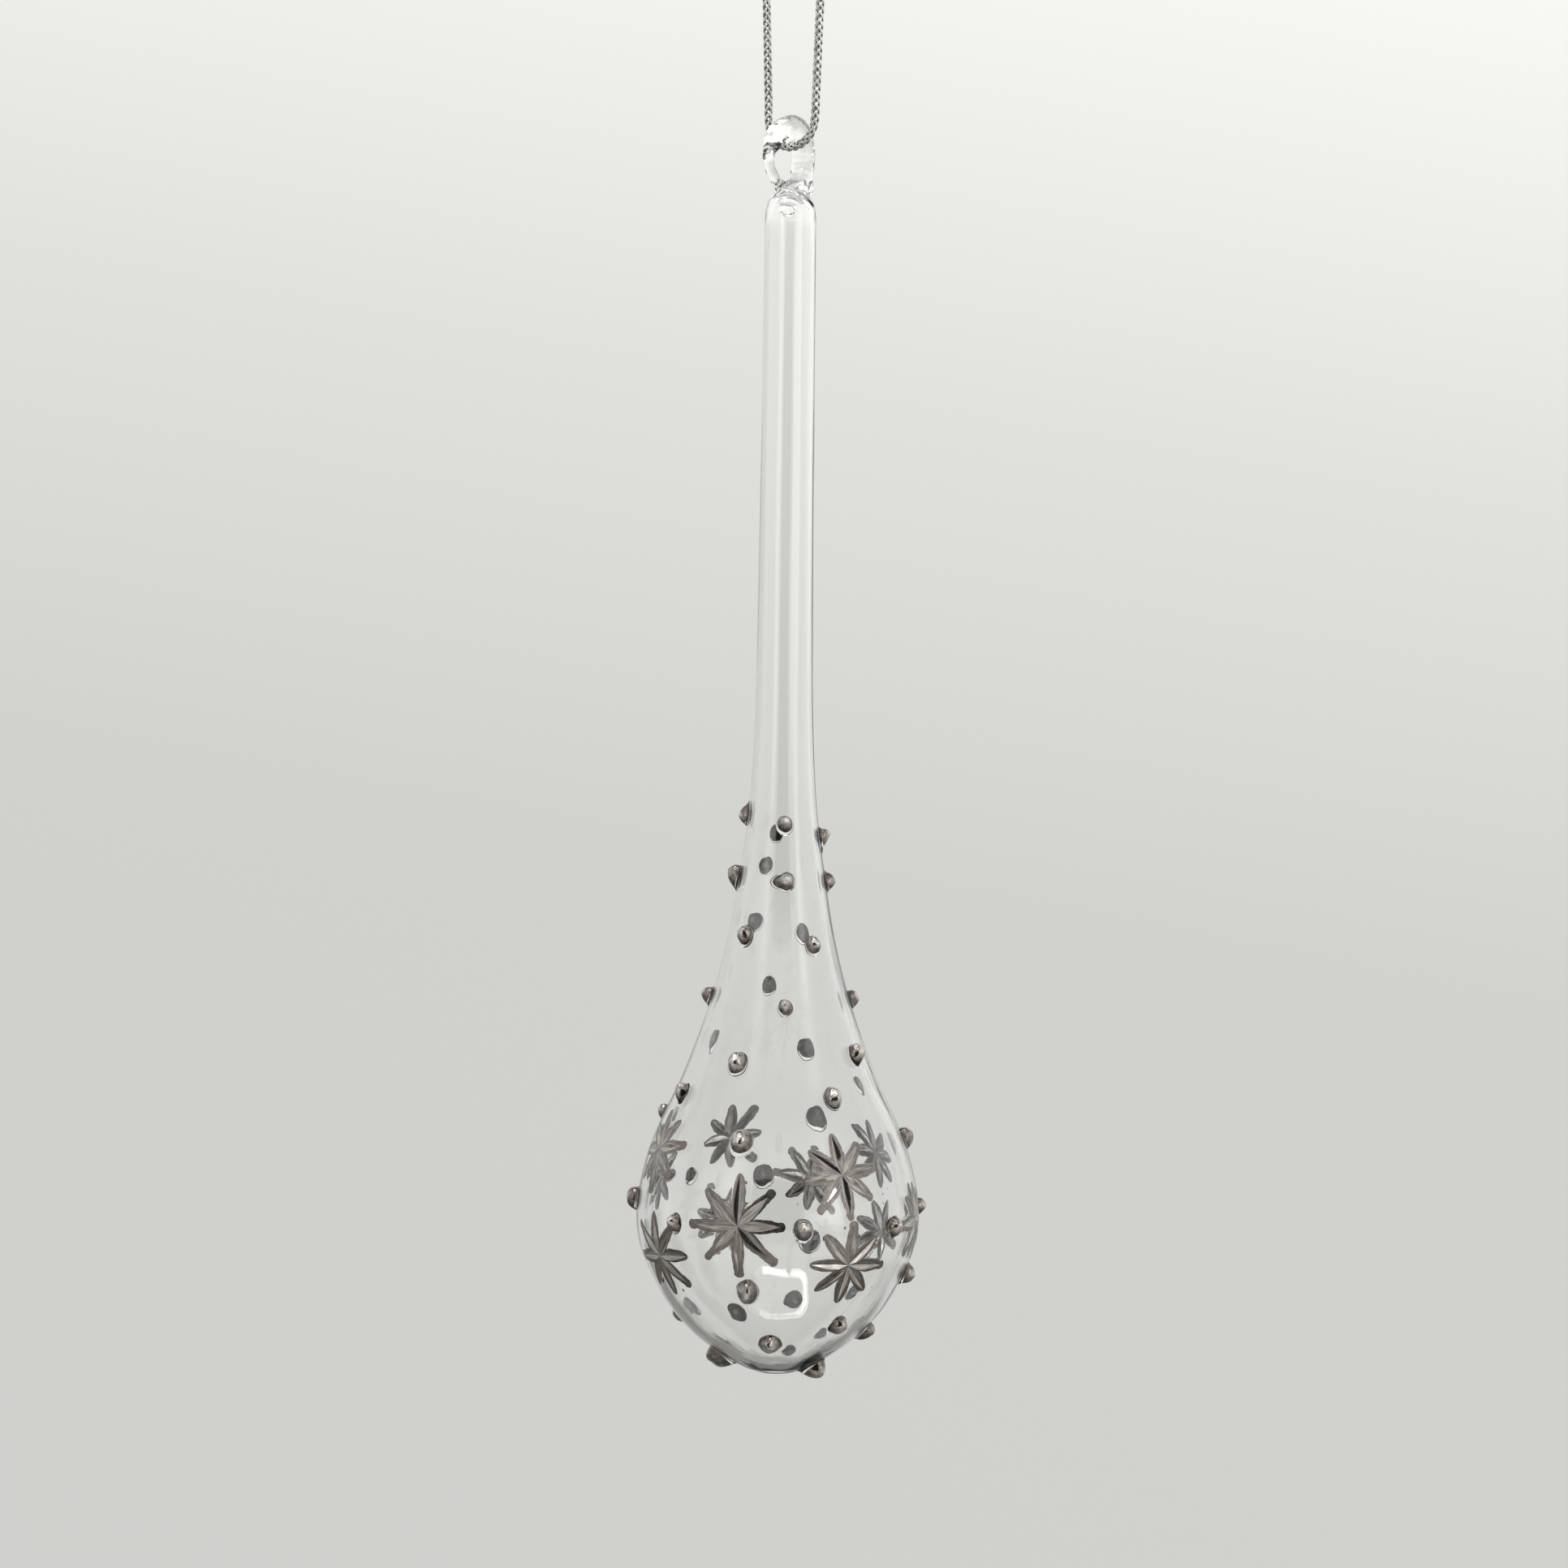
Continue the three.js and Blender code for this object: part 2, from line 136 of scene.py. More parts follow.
def catmull_rom(points, per_span, before=None, after=None, power=0.0):
    """A spline through points. power 0 spaces its knots evenly, 0.5 by the root of the distance."""
    p = np.array(points, float)
    before = 2 * p[0] - p[1] if before is None else np.array(before, float)
    after = 2 * p[-1] - p[-2] if after is None else np.array(after, float)
    p = np.vstack([before, p, after])
    out = []
    for a, b, c, d in zip(p, p[1:], p[2:], p[3:]):
        gaps = [max(np.linalg.norm(q - r), 1e-9) ** power for r, q in ((a, b), (b, c), (c, d))]
        t0, t1 = 0.0, gaps[0]
        t2, t3 = t1 + gaps[1], t1 + gaps[1] + gaps[2]
        for t in np.linspace(t1, t2, per_span, endpoint=False):
            ab = ((t1 - t) * a + (t - t0) * b) / (t1 - t0)
            bc = ((t2 - t) * b + (t - t1) * c) / (t2 - t1)
            cd = ((t3 - t) * c + (t - t2) * d) / (t3 - t2)
            abc = ((t2 - t) * ab + (t - t0) * bc) / (t2 - t0)
            bcd = ((t3 - t) * bc + (t - t1) * cd) / (t3 - t1)
            out.append(((t2 - t) * abc + (t - t1) * bcd) / (t2 - t1))
    out.append(p[-2])
    return np.array(out)


def lengths_along(points):
    steps = np.linalg.norm(np.diff(points, axis=0), axis=1)
    return np.concatenate([[0], np.cumsum(steps)])


def respaced(points, step):
    """The same line with points an even distance apart."""
    along = lengths_along(points)
    count = max(2, round(along[-1] / step) + 1)
    at = np.linspace(0, along[-1], count)
    return np.column_stack([np.interp(at, along, column) for column in points.T])


def smoothstep(x, low, high):
    t = np.clip((x - low) / (high - low), 0, 1)
    return t * t * (3 - 2 * t)


class Outline:
    """The drop's outer outline, read by distance along it from the tip, in millimetres."""

    def __init__(self):
        points = catmull_rom(OUTLINE, 40, before=(-OUTLINE[1][0], OUTLINE[1][1]))
        self.radii, self.heights = points.T
        self.along = lengths_along(points)
        slope = np.gradient(points, self.along, axis=0)
        self.slopes = slope / np.linalg.norm(slope, axis=1)[:, None]
        self.slopes[0] = (1, 0)

    def at_height(self, height):
        return np.interp(height, self.heights, self.along)

    def radius(self, along):
        return np.interp(along, self.along, self.radii)

    def point(self, azimuth, along, offset=0.0):
        """Points in metres in the row frame. Azimuths are in radians, offset is outward."""
        radius = self.radius(along)
        height = np.interp(along, self.along, self.heights)
        across = np.interp(along, self.along, self.slopes[:, 0])
        up = np.interp(along, self.along, self.slopes[:, 1])
        radius = radius + offset * up
        height = height - offset * across
        x, y = radius * np.sin(azimuth) * MM, -radius * np.cos(azimuth) * MM
        return np.stack([x, y, TIP_Z + height * MM], axis=-1)


outline = Outline()

# A patch is as wide as if the drop were never narrower than this, in millimetres and as a
# share of the drop's radius at the patch's middle.
NARROWEST = 0.35
NARROWEST_SHARE = 0.6


class Patch:
    """A flat sheet (x to the side, y up) laid on the drop round one place, in millimetres."""

    def __init__(self, azimuth, height):
        self.azimuth = math.radians(azimuth)
        self.along = float(outline.at_height(height))
        self.outward = (Vector(self.point(0, 0, 1.0)) - Vector(self.point(0, 0))).normalized()

    def point(self, x, y, offset=0.0):
        along = self.along + np.asarray(y, float)
        over = along < 0  # past the tip, so down the far side
        radius = np.maximum(outline.radius(np.abs(along)), NARROWEST)
        middle = max(float(outline.radius(self.along)), NARROWEST)
        radius = np.maximum(radius, NARROWEST_SHARE * middle)
        azimuth = self.azimuth + np.asarray(x, float) / radius + np.where(over, math.pi, 0)
        return outline.point(azimuth, np.abs(along), offset)


def shake(x, y, z, seed):
    """Smooth noise from -1 to 1."""
    return noise.noise(Vector((x, y, z + 17.3 * seed)))


def new_object(name, verts, faces, materials, numbers=None, smooth=True):
    """A mesh object in the scene. numbers holds each face's place in the materials."""
    mesh = bpy.data.meshes.new(name)
    mesh.from_pydata([tuple(v) for v in verts], [], [tuple(f) for f in faces])
    mesh.validate()
    if smooth:
        mesh.shade_smooth()
    for material in materials:
        mesh.materials.append(material)
    if numbers:
        mesh.polygons.foreach_set("material_index", numbers)
    obj = bpy.data.objects.new(name, mesh)
    bpy.context.scene.collection.objects.link(obj)
    return obj


def set_uvs(mesh, uvs):
    """A UV map with one place for each vertex."""
    layer = mesh.uv_layers.new(name="brushed")
    loops = np.zeros(len(mesh.loops), int)
    mesh.loops.foreach_get("vertex_index", loops)
    layer.data.foreach_set("uv", np.array(uvs)[loops].ravel())


def mark_sharp(mesh, degrees):
    """Keeps edges that fold by more than this angle crisp."""
    bm = bmesh.new()
    bm.from_mesh(mesh)
    for edge in bm.edges:
        edge.smooth = len(edge.link_faces) == 2 and edge.calc_face_angle(0) < math.radians(degrees)
    bm.to_mesh(mesh)
    bm.free()


def grid_faces(rows, columns, start=0, closed=True, flip=False):
    """Quads of a grid of rows, each of which closes on itself or not."""
    faces = []
    for i in range(rows - 1):
        for j in range(columns if closed else columns - 1):
            k, low = (j + 1) % columns, start + i * columns
            quad = (low + j, low + k, low + columns + k, low + columns + j)
            faces.append(quad[::-1] if flip else quad)
    return faces


# ------------ materials


def fill(node, values):
    for name, value in values.items():
        node.inputs[name.replace("_", " ")].default_value = value


class Nodes:
    """Small helper for building a tree of nodes."""

    def __init__(self, tree):
        self.tree = tree
        self.coords = self.add("TexCoord")

    def add(self, kind, **inputs):
        node = self.tree.nodes.new("ShaderNode" + kind)
        fill(node, inputs)
        return node

    def link(self, source, target):
        self.tree.links.new(source, target)

    def axis(self, letter, coords="Object"):
        node = self.add("SeparateXYZ")
        self.link(self.coords.outputs[coords], node.inputs["Vector"])
        return node.outputs[letter]

    def along(self, direction, coords="Object"):
        """Distance along a direction."""
        node = self.add("VectorMath")
        node.operation = "DOT_PRODUCT"
        node.inputs[1].default_value = direction
        self.link(self.coords.outputs[coords], node.inputs[0])
        return node.outputs["Value"]

    def noise(self, scale, detail=3.0, stretch=(1, 1, 1), coords="Object", rough=0.5):
        place = self.add("Mapping", Scale=stretch)
        self.link(self.coords.outputs[coords], place.inputs["Vector"])
        node = self.add("TexNoise", Scale=scale, Detail=detail, Roughness=rough)
        self.link(place.outputs["Vector"], node.inputs["Vector"])
        return node.outputs["Fac"]

    def ramp(self, source, stops):
        node = self.add("ValToRGB")
        elements = node.color_ramp.elements
        while len(elements) < len(stops):
            elements.new(0.5)
        for element, (place, colour) in zip(elements, stops):
            element.position = place
            element.color = (*colour, 1)
        self.link(source, node.inputs["Fac"])
        return node.outputs["Color"]

    def mixed(self, mode, a, b):
        node = self.add("Mix")
        node.data_type = "RGBA"
        node.blend_type = mode
        node.inputs["Factor"].default_value = 1.0
        self.link(a, node.inputs["A"])
        self.link(b, node.inputs["B"])
        return node.outputs["Result"]

    def range(self, source, low, high, from_low=0.3, from_high=0.7):
        node = self.add(
            "MapRange", From_Min=from_low, From_Max=from_high, To_Min=low, To_Max=high
        )
        self.link(source, node.inputs["Value"])
        return node.outputs["Result"]

    def bump(self, height, strength, distance, before=None):
        node = self.add("Bump", Strength=strength, Distance=distance)
        self.link(height, node.inputs["Height"])
        if before is not None:
            self.link(before, node.inputs["Normal"])
        return node.outputs["Normal"]


class MaterialNodes(Nodes):
    """The same for a new material, with its shader."""

    def __init__(self, name):
        self.material = bpy.data.materials.new(name)
        self.material.use_nodes = True
        super().__init__(self.material.node_tree)
        self.shader = self.tree.nodes["Principled BSDF"]

    def set(self, **values):
        fill(self.shader, values)

    def drive(self, **sources):
        """Links outputs to the shader's inputs."""
        for name, source in sources.items():
            self.link(source, self.shader.inputs[name.replace("_", " ")])


def clear_glass(name, streaks):
    """Colourless blown glass. streaks is the depth in metres of the drawn lines in it."""
    n = MaterialNodes(name)
    n.set(Base_Color=(0.985, 0.988, 0.985, 1), Roughness=0.0, IOR=1.5, Transmission_Weight=1.0)
    drawn = n.noise(420, 2.0, stretch=(1, 1, 0.035))
    waves = n.noise(140, 1.0, stretch=(1, 1, 0.3))
    n.drive(Normal=n.bump(waves, 0.5, streaks, n.bump(drawn, 0.35, 0.4 * streaks)))
    smear = n.noise(90, 3.0, stretch=(1, 1, 0.4))
    n.drive(Roughness=n.range(smear, 0.0, 0.02, 0.5, 0.75))
    return n.material


def platinum(name, dark, light, roughness, bump, scale, stretch, grain=(1, 1, 1)):
    """Platinum lustre brushed on glass: a bright metal film, patchy in tone and gloss."""
    n = MaterialNodes(name)
    n.set(Metallic=1.0)
    patches = n.noise(scale, 4.0, stretch=stretch, coords="UV")
    n.drive(Base_Color=n.ramp(patches, [(0.32, dark), (0.68, light)]))
    smear = n.noise(0.6 * scale, 3.0, coords="UV")
    n.drive(Roughness=n.range(smear, *roughness))
    lines = n.noise(1.6 * scale, 3.0, stretch=grain, coords="UV")
    n.drive(Normal=n.bump(lines, 0.6, bump, n.bump(patches, 0.4, 0.6 * bump)))
    return n.material


def nub_lustre():
    """Lustre brushed on a bead, with streaks: painted shade darkens it at its rim and a painted
    highlight brightens it at the crown.
    """
    n = MaterialNodes("platinum_nub")
    n.set(Metallic=1.0)
    # Painted shade and highlight: the colour runs from dark at the film's rim to light at the
    # crown.
    painted_light_rise = n.ramp(n.axis("Y", "UV"), [
        (0.12, (0.17, 0.152, 0.138)), (0.4, (0.34, 0.313, 0.292)), (0.62, (0.52, 0.496, 0.475)),
        (0.9, (0.78, 0.76, 0.74)),
    ])
    patches = n.noise(1100, 4.0, rough=0.65)
    blotches = n.ramp(patches, [(0.36, (0.42, 0.4, 0.38)), (0.62, (1, 1, 1))])
    streaks = n.noise(2.6, 2.0, stretch=(1, 0.4, 1), coords="UV")
    n.drive(
        Base_Color=n.mixed("MULTIPLY", painted_light_rise, blotches),
        Roughness=n.range(patches, 0.14, 0.02),
        Normal=n.bump(streaks, 0.6, 0.00006, n.bump(patches, 0.4, 0.000012)),
    )
    return n.material


def lustre_underside():
    """The fired side of the lustre, seen through the glass: dull, brown and blotchy, with painted
    shade at its rim and a painted reflection lighter towards its middle.
    """
    n = MaterialNodes("platinum_underside")
    n.set(Metallic=0.8)
    # Painted shade and reflection: dark at the film's rim, light towards the crown.
    painted_light_rise = n.ramp(n.axis("Y", "UV"), [
        (0.2, (0.04, 0.036, 0.032)), (0.5, (0.17, 0.155, 0.14)), (0.8, (0.45, 0.42, 0.39)),
        (0.95, (0.65, 0.62, 0.58)),
    ])
    patches = n.noise(1500, 4.0, rough=0.7)
    blotches = n.ramp(patches, [(0.36, (0.35, 0.33, 0.31)), (0.64, (1.0, 0.98, 0.95))])
    places = n.ramp(n.noise(70, 1.0), [(0.36, (0.6, 0.6, 0.6)), (0.64, (1, 1, 1))])
    n.drive(
        Base_Color=n.mixed("MULTIPLY", n.mixed("MULTIPLY", painted_light_rise, blotches), places),
        Roughness=n.range(patches, 0.5, 0.3),
        Normal=n.bump(patches, 0.6, 0.00004),
    )
    return n.material


def braid_silver():
    n = MaterialNodes("silver_braid")
    n.set(Metallic=1.0)
    fibres = n.noise(9000, 2.0, stretch=(1, 1, 0.5))
    n.drive(
        Base_Color=n.ramp(
            n.noise(1400, 3.0), [(0.3, (0.42, 0.42, 0.41)), (0.7, (0.78, 0.78, 0.77))]
        ),
        Roughness=n.range(fibres, 0.12, 0.32),
        Normal=n.bump(fibres, 0.7, 0.00003),
    )
    return n.material


# The cord's core, which is really there, coloured near black as painted shade in the gaps between
# the strands.
def braid_core_painted_shade():
    n = MaterialNodes("braid_core_painted_shade")
    n.set(Metallic=0.2, Roughness=0.7)
    fibres = n.noise(5000, 2.0)
    n.drive(
        Base_Color=n.ramp(fibres, [(0.3, (0.012, 0.012, 0.012)), (0.7, (0.05, 0.05, 0.048))]),
        Normal=n.bump(fibres, 0.6, 0.00002),
    )
    return n.material


GLASS = clear_glass("clear_glass", 0.0001)
FOOT_GLASS = clear_glass("clear_glass_foot", 0.00001)
NUB_METAL = nub_lustre()
UNDERSIDE = lustre_underside()
CUT_METAL = platinum(
    "platinum_cut", (0.22, 0.205, 0.19), (0.5, 0.482, 0.46), (0.05, 0.15), 0.000009,
    scale=5, stretch=(1, 0.12, 1), grain=(1, 0.1, 1),
)
FILM_METAL = platinum(
    "platinum_film", (0.15, 0.137, 0.125), (0.26, 0.241, 0.224), (0.22, 0.38), 0.000008,
    scale=3, stretch=(1, 0.4, 1),
)
BRAID = braid_silver()
SHADED_CORE = braid_core_painted_shade()


# ------------ camera and stage

CAMERA_PLACE = (0.00009, -0.45, TIP_Z + 0.0655)
CAMERA_LENS = 92.94
CAMERA_LEAN = math.radians(0.75)

SWEEP_FRONT = -1.1
SWEEP_BACK = 0.95
SWEEP_FLOOR = -0.62
SWEEP_TOP = 1.6
SWEEP_BEND = 0.45
BEND_STEPS = 16
# Painted light on the paper, which glows though it is no lamp: up the sweep, measured a little to
# one side, and on the floor from the front to under the drop.
RISE = (0.16, 0, 1)
RISE_TOP = 1.3
PAINTED_RISE_TONES = [
    (0.0, (0.06, 0.057, 0.053)), (0.055, (0.08, 0.077, 0.073)), (0.085, (0.43, 0.43, 0.42)),
    (0.24, (0.45, 0.45, 0.435)), (0.33, (0.56, 0.56, 0.545)), (0.42, (0.74, 0.74, 0.72)),
    (0.6, (0.85, 0.85, 0.83)),
]
FRONT_REACH = (-0.9, -0.05)
PAINTED_FLOOR_TONES = [(0.0, (0.55, 0.54, 0.52)), (0.5, (0.5, 0.485, 0.465)), (1.0, (0, 0, 0))]

# The room's light along Y, Z and X, from -1 to 1.
DARK = (0, 0, 0)
FULL = (1, 1, 1)
DEPTH_TONES = [(0.0, (0.8, 0.79, 0.78)), (0.35, (0.82, 0.82, 0.81)), (0.65, (0.9, 0.9, 0.89)),
               (1.0, (1.3, 1.3, 1.28))]
HEIGHT_TONES = [(0.0, (0.4, 0.37, 0.34)), (0.34, (0.5, 0.47, 0.44)), (0.47, (0.85, 0.84, 0.82)),
                (0.54, FULL), (0.8, FULL), (0.97, (0.3, 0.3, 0.29))]
SIDE_TONES = [(0.0, (0.88, 0.88, 0.87)), (0.5, FULL), (1.0, (1.3, 1.3, 1.3))]
# Soft bright strips of the room, before and behind: turn about Z from the Y axis, and strength.
WINDOWS = [(48, 1.4), (-40, 0.9)]
WINDOW_REACH = 0.2
WINDOW_HEIGHTS = [(0.0, DARK), (0.4, DARK), (0.5, FULL), (0.68, FULL), (0.85, DARK)]

LAMP_HALF_SIZE = (0.35, 0.29)
LAMP_PLACE = (-0.03, -0.262, 0.56)
LAMP_AIM = (0, 0, TIP_Z + 0.03)
LAMP_COLOUR = (1, 0.99, 0.97, 1)
LAMP_SIDES = 48
LAMP_SQUARENESS = 5
LAMP_RINGS = (1, 0.85, 0.02)  # the bright rim lies between the first two
DIM_FROM = 0.6  # how far to +X the dim side of the rim starts, as a cosine

CARD_Y = -0.62
CARD_HALF_WIDTH = 0.25
CARD_HEIGHTS = (-0.38, 0.1)


def add_camera():
    """A level view from 450 mm in front of the drop, turned a little so that the drop leans."""
    data = bpy.data.cameras.new("camera")
    data.sensor_width = 36
    data.lens = CAMERA_LENS
    data.clip_start = 0.01
    data.clip_end = 20
    camera = bpy.data.objects.new("camera", data)
    level = Matrix.Rotation(math.radians(90), 4, "X")
    lean = Matrix.Rotation(CAMERA_LEAN, 4, "Z")
    camera.matrix_world = Matrix.Translation(CAMERA_PLACE) @ (level @ lean)
    bpy.context.scene.collection.objects.link(camera)
    bpy.context.scene.camera = camera


def painted_light_paper():
    n = MaterialNodes("paper")
    n.set(Base_Color=(0.24, 0.24, 0.235, 1), Roughness=0.9, Emission_Strength=1.0)
    # Painted light: the emission is dark low on the sweep and grows up it, and lights the floor
    # towards the front.
    painted_light_rise = n.ramp(n.range(n.along(RISE), 0, 1, SWEEP_FLOOR, RISE_TOP), PAINTED_RISE_TONES)
    front = n.ramp(n.range(n.axis("Y"), 0, 1, *FRONT_REACH), PAINTED_FLOOR_TONES)
    n.drive(Emission_Color=n.mixed("ADD", painted_light_rise, front))
    return n.material


def add_sweep():
    """A pale paper sweep: the floor, a wide curve and the wall behind."""
    profile = [(SWEEP_FRONT, SWEEP_FLOOR), (0.0, SWEEP_FLOOR)]
    for i in range(BEND_STEPS + 1):
        angle = math.pi / 2 * i / BEND_STEPS
        back = SWEEP_BACK - SWEEP_BEND + SWEEP_BEND * math.sin(angle)
        profile.append((back, SWEEP_FLOOR + SWEEP_BEND * (1 - math.cos(angle))))
    profile.append((SWEEP_BACK, SWEEP_TOP))
    verts = [(x, y, z) for y, z in profile for x in (-1.6, -0.5, 0.5, 1.6)]
    faces = grid_faces(len(profile), 4, closed=False)
    sweep = new_object("sweep", verts, faces, [painted_light_paper()])


def add_world():
    """Soft room light: dark straight above, dimmer below the horizon and behind the camera."""
    world = bpy.data.worlds.new("room")
    world.use_nodes = True
    n = Nodes(world.node_tree)

    def tone(source, stops, reach=1.0):
        return n.ramp(n.range(source, 0, 1, -reach, reach), stops)

    up = n.axis("Z", "Generated")
    shade = n.mixed("MULTIPLY", tone(n.axis("Y", "Generated"), DEPTH_TONES), tone(up, HEIGHT_TONES))
    shade = n.mixed("MULTIPLY", shade, tone(n.axis("X", "Generated"), SIDE_TONES))
    for turn, strength in WINDOWS:
        angle = math.radians(turn)
        across = n.along((math.cos(angle), math.sin(angle), 0), "Generated")
        bright = (strength, strength, strength)
        strip = tone(
            across, [(0.0, DARK), (0.38, bright), (0.62, bright), (1.0, DARK)], WINDOW_REACH
        )
        shade = n.mixed("ADD", shade, n.mixed("MULTIPLY", strip, tone(up, WINDOW_HEIGHTS)))
    background = n.tree.nodes["Background"]
    n.link(shade, background.inputs["Color"])
    background.inputs["Strength"].default_value = 1.0
    bpy.context.scene.world = world


def glow(name, strength):
    n = MaterialNodes(name)
    n.tree.nodes.remove(n.shader)
    emission = n.add("Emission", Color=LAMP_COLOUR, Strength=strength)
    n.link(emission.outputs[0], n.tree.nodes["Material Output"].inputs["Surface"])
    return n.material


def hide_from_view(obj):
    obj.visible_camera = False
    obj.visible_shadow = False


def add_lamp():
    """A square overhead softbox, brightest at its rim, which is dim at one side."""
    angles = np.linspace(0, 2 * math.pi, LAMP_SIDES, endpoint=False)
    c, s = np.cos(angles), np.sin(angles)
    power = LAMP_SQUARENESS
    corner = (np.abs(c) ** power + np.abs(s) ** power) ** (-1 / power)
    shape = np.column_stack([c * corner, s * corner])
    rings = [
        np.column_stack([size * shape * np.array(LAMP_HALF_SIZE), np.zeros(LAMP_SIDES)])
        for size in LAMP_RINGS
    ]
    rim = list((c > DIM_FROM) * 2)
    lamp = new_object(
        "softbox", np.vstack(rings), grid_faces(len(rings), LAMP_SIDES),
        [glow("softbox_rim", 8.0), glow("softbox_middle", 1.1), glow("softbox_side", 1.5)],
        rim + [1] * LAMP_SIDES, smooth=False,
    )
    lamp.location = LAMP_PLACE
    aim = Vector(LAMP_AIM) - Vector(LAMP_PLACE)
    lamp.rotation_euler = aim.to_track_quat("-Z", "Y").to_euler()
    hide_from_view(lamp)


def add_card():
    """A dark card behind the camera, which the glass mirrors."""
    n = MaterialNodes("dark_cloth")
    n.set(Base_Color=(0.02, 0.018, 0.017, 1))
    low, high = CARD_HEIGHTS
    corners = [(-1, low), (1, low), (1, high), (-1, high)]
    verts = [(x * CARD_HALF_WIDTH, CARD_Y, z) for x, z in corners]
    card = new_object("camera_shape", verts, [(0, 1, 2, 3)], [n.material])
    hide_from_view(card)


add_camera()


# ------------ cord

CORD_STEP = 0.12


def cord_line():
    """The cord's centreline from one side of the knot round the bight to the other, in metres."""
    bend = []
    for degrees in BIGHT_ANGLES:
        angle = math.radians(degrees)
        bend.append(
            (BIGHT_RADIUS * math.sin(angle), BIGHT_Z + BIGHT_RADIUS * (1 - math.cos(angle)))
        )
    right = bend + CORD_RUN
    left = [(-x, z) for x, z in reversed(right)]
    flat = catmull_rom(left + [(0, BIGHT_Z)] + right, 24, power=0.5) * MM
    return respaced(in_plane(flat, CORD_TURN), CORD_STEP * MM)


def in_plane(flat, turn):
    """[across, Z] points as points of the upright plane at that turn about Z."""
    return np.column_stack([flat[:, 0] * math.cos(turn), flat[:, 0] * math.sin(turn), flat[:, 1]])


def square_to(turn):
    """Level direction square to the upright plane at that turn."""
    return (math.sin(turn), -math.cos(turn), 0)


def swept_frames(points, first_normal):
    """Tangents, and two sideways directions that don't twist about them."""
    tangents = np.gradient(points, axis=0)
    tangents /= np.linalg.norm(tangents, axis=1)[:, None]
    normals = np.zeros_like(points)
    normal = np.array(first_normal, float)
    for i, tangent in enumerate(tangents):
        normal = normal - tangent * (normal @ tangent)
        normal /= np.linalg.norm(normal)
        normals[i] = normal
    return tangents, normals, np.cross(tangents, normals)


def tube(points, radii, sides, first_normal, flat=1.0, outward=None):
    """Verts and faces of a closed tube. With outward, its section is flattened that way."""
    tangents, normals, binormals = swept_frames(points, first_normal)
    if outward is not None:
        normals = outward - tangents * np.sum(outward * tangents, axis=1)[:, None]
        normals /= np.linalg.norm(normals, axis=1)[:, None]
        binormals = np.cross(tangents, normals)
    angles = np.linspace(0, 2 * math.pi, sides, endpoint=False)
    radii = np.broadcast_to(radii, len(points))[:, None, None]
    ring = (
        normals[:, None, :] * (np.cos(angles)[None, :, None] * flat)
        + binormals[:, None, :] * np.sin(angles)[None, :, None]
    )
    verts = (points[:, None, :] + radii * ring).reshape(-1, 3)
    faces = grid_faces(len(points), sides)
    last = (len(points) - 1) * sides
    faces.append(tuple(range(sides))[::-1])
    faces.append(tuple(range(last, last + sides)))
    return verts, faces


STRANDS = 4  # each way round
BRAID_PITCH = 3.4
STRAND_MIDDLE = 0.35
STRAND_WEAVE = 0.085
STRAND_HALF_WIDTH = 0.16
STRAND_FLATNESS = 0.42
CORE_RADIUS = 0.31
KNOT_CORE_RADIUS = 0.3
KNOT_SCALE = 0.98
THREADS = 16  # loose at each cut end


def braid(points, first_normal, scale=1.0):
    """Strands round a line, each over two and under two, so that they lie in chevrons."""
    tangents, normals, binormals = swept_frames(points, first_normal)
    turn = 2 * math.pi * lengths_along(points) / (BRAID_PITCH * MM * scale)
    parts = []
    for way in (1, -1):
        for strand in range(STRANDS):
            angle = way * turn + 2 * math.pi * strand / STRANDS
            over = way * np.cos(2 * angle - math.pi / 4)
            radius = (STRAND_MIDDLE + STRAND_WEAVE * over) * MM * scale
            outward = normals * np.cos(angle)[:, None] + binormals * np.sin(angle)[:, None]
            line = points + outward * radius[:, None]
            strand_tube = tube(
                line, STRAND_HALF_WIDTH * MM * scale, 8, first_normal,
                flat=STRAND_FLATNESS, outward=outward,
            )
            parts.append((*strand_tube, 0))
    return joined(parts)[:2]


def joined(parts):
    """One list of verts and one of faces, with each part's material number."""
    verts, faces, numbers, start = [], [], [], 0
    for part, quads, number in parts:
        verts.append(part)
        faces += [tuple(start + i for i in face) for face in quads]
        numbers += [number] * len(quads)
        start += len(part)
    return np.vstack(verts), faces, numbers


def make_cord():
    line = cord_line()
    across = square_to(CORD_TURN)
    parts = [(*braid(line, across), 0), (*tube(line[::3], CORE_RADIUS * MM, 8, across), 1)]
    verts, faces, numbers = joined(parts)
    return new_object("cord_braid", verts, faces, [BRAID, SHADED_CORE], numbers), line


def knot_line(side):
    """One of the two cords that are tied together, from the loop through the knot to its tail."""
    lay = 0.46 * side
    route = [
        (0.6 * side, 0, 0.9), (0.55 * side, -0.1, 1.5), (0.2 + lay, 0.5, 2.1),
        (1.0 + 0.3 * lay, 0.9 + 0.6 * lay, 3.2), (0.2, 1.0 + 0.7 * lay, 3.9),
        (-1.1, 0.1, 3.5 + 0.6 * lay), (-1.1, -0.9, 2.3 + 0.9 * lay), (0.1, -1.2, 1.7 + 0.9 * lay),
        (1.25, -0.6, 2.1 + 0.8 * lay), (1.2, 0.4, 2.4 + 0.7 * lay), (0.1, 0.4 - 0.4 * lay, 2.7),
        (-0.5 + lay, -0.2, 3.4), (0.1 + 0.9 * lay, -0.1, 4.4), (1.1 * side, 0, 5.2),
        (2.0 * side, 0, 6.6), (3.1 * side, 0, 7.7),
    ]
    points = respaced(catmull_rom(route, 20, power=0.5) * MM, CORD_STEP * MM)
    c, s = math.cos(CORD_TURN), math.sin(CORD_TURN)
    return points @ np.array([[c, s, 0], [-s, c, 0], [0, 0, 1]])


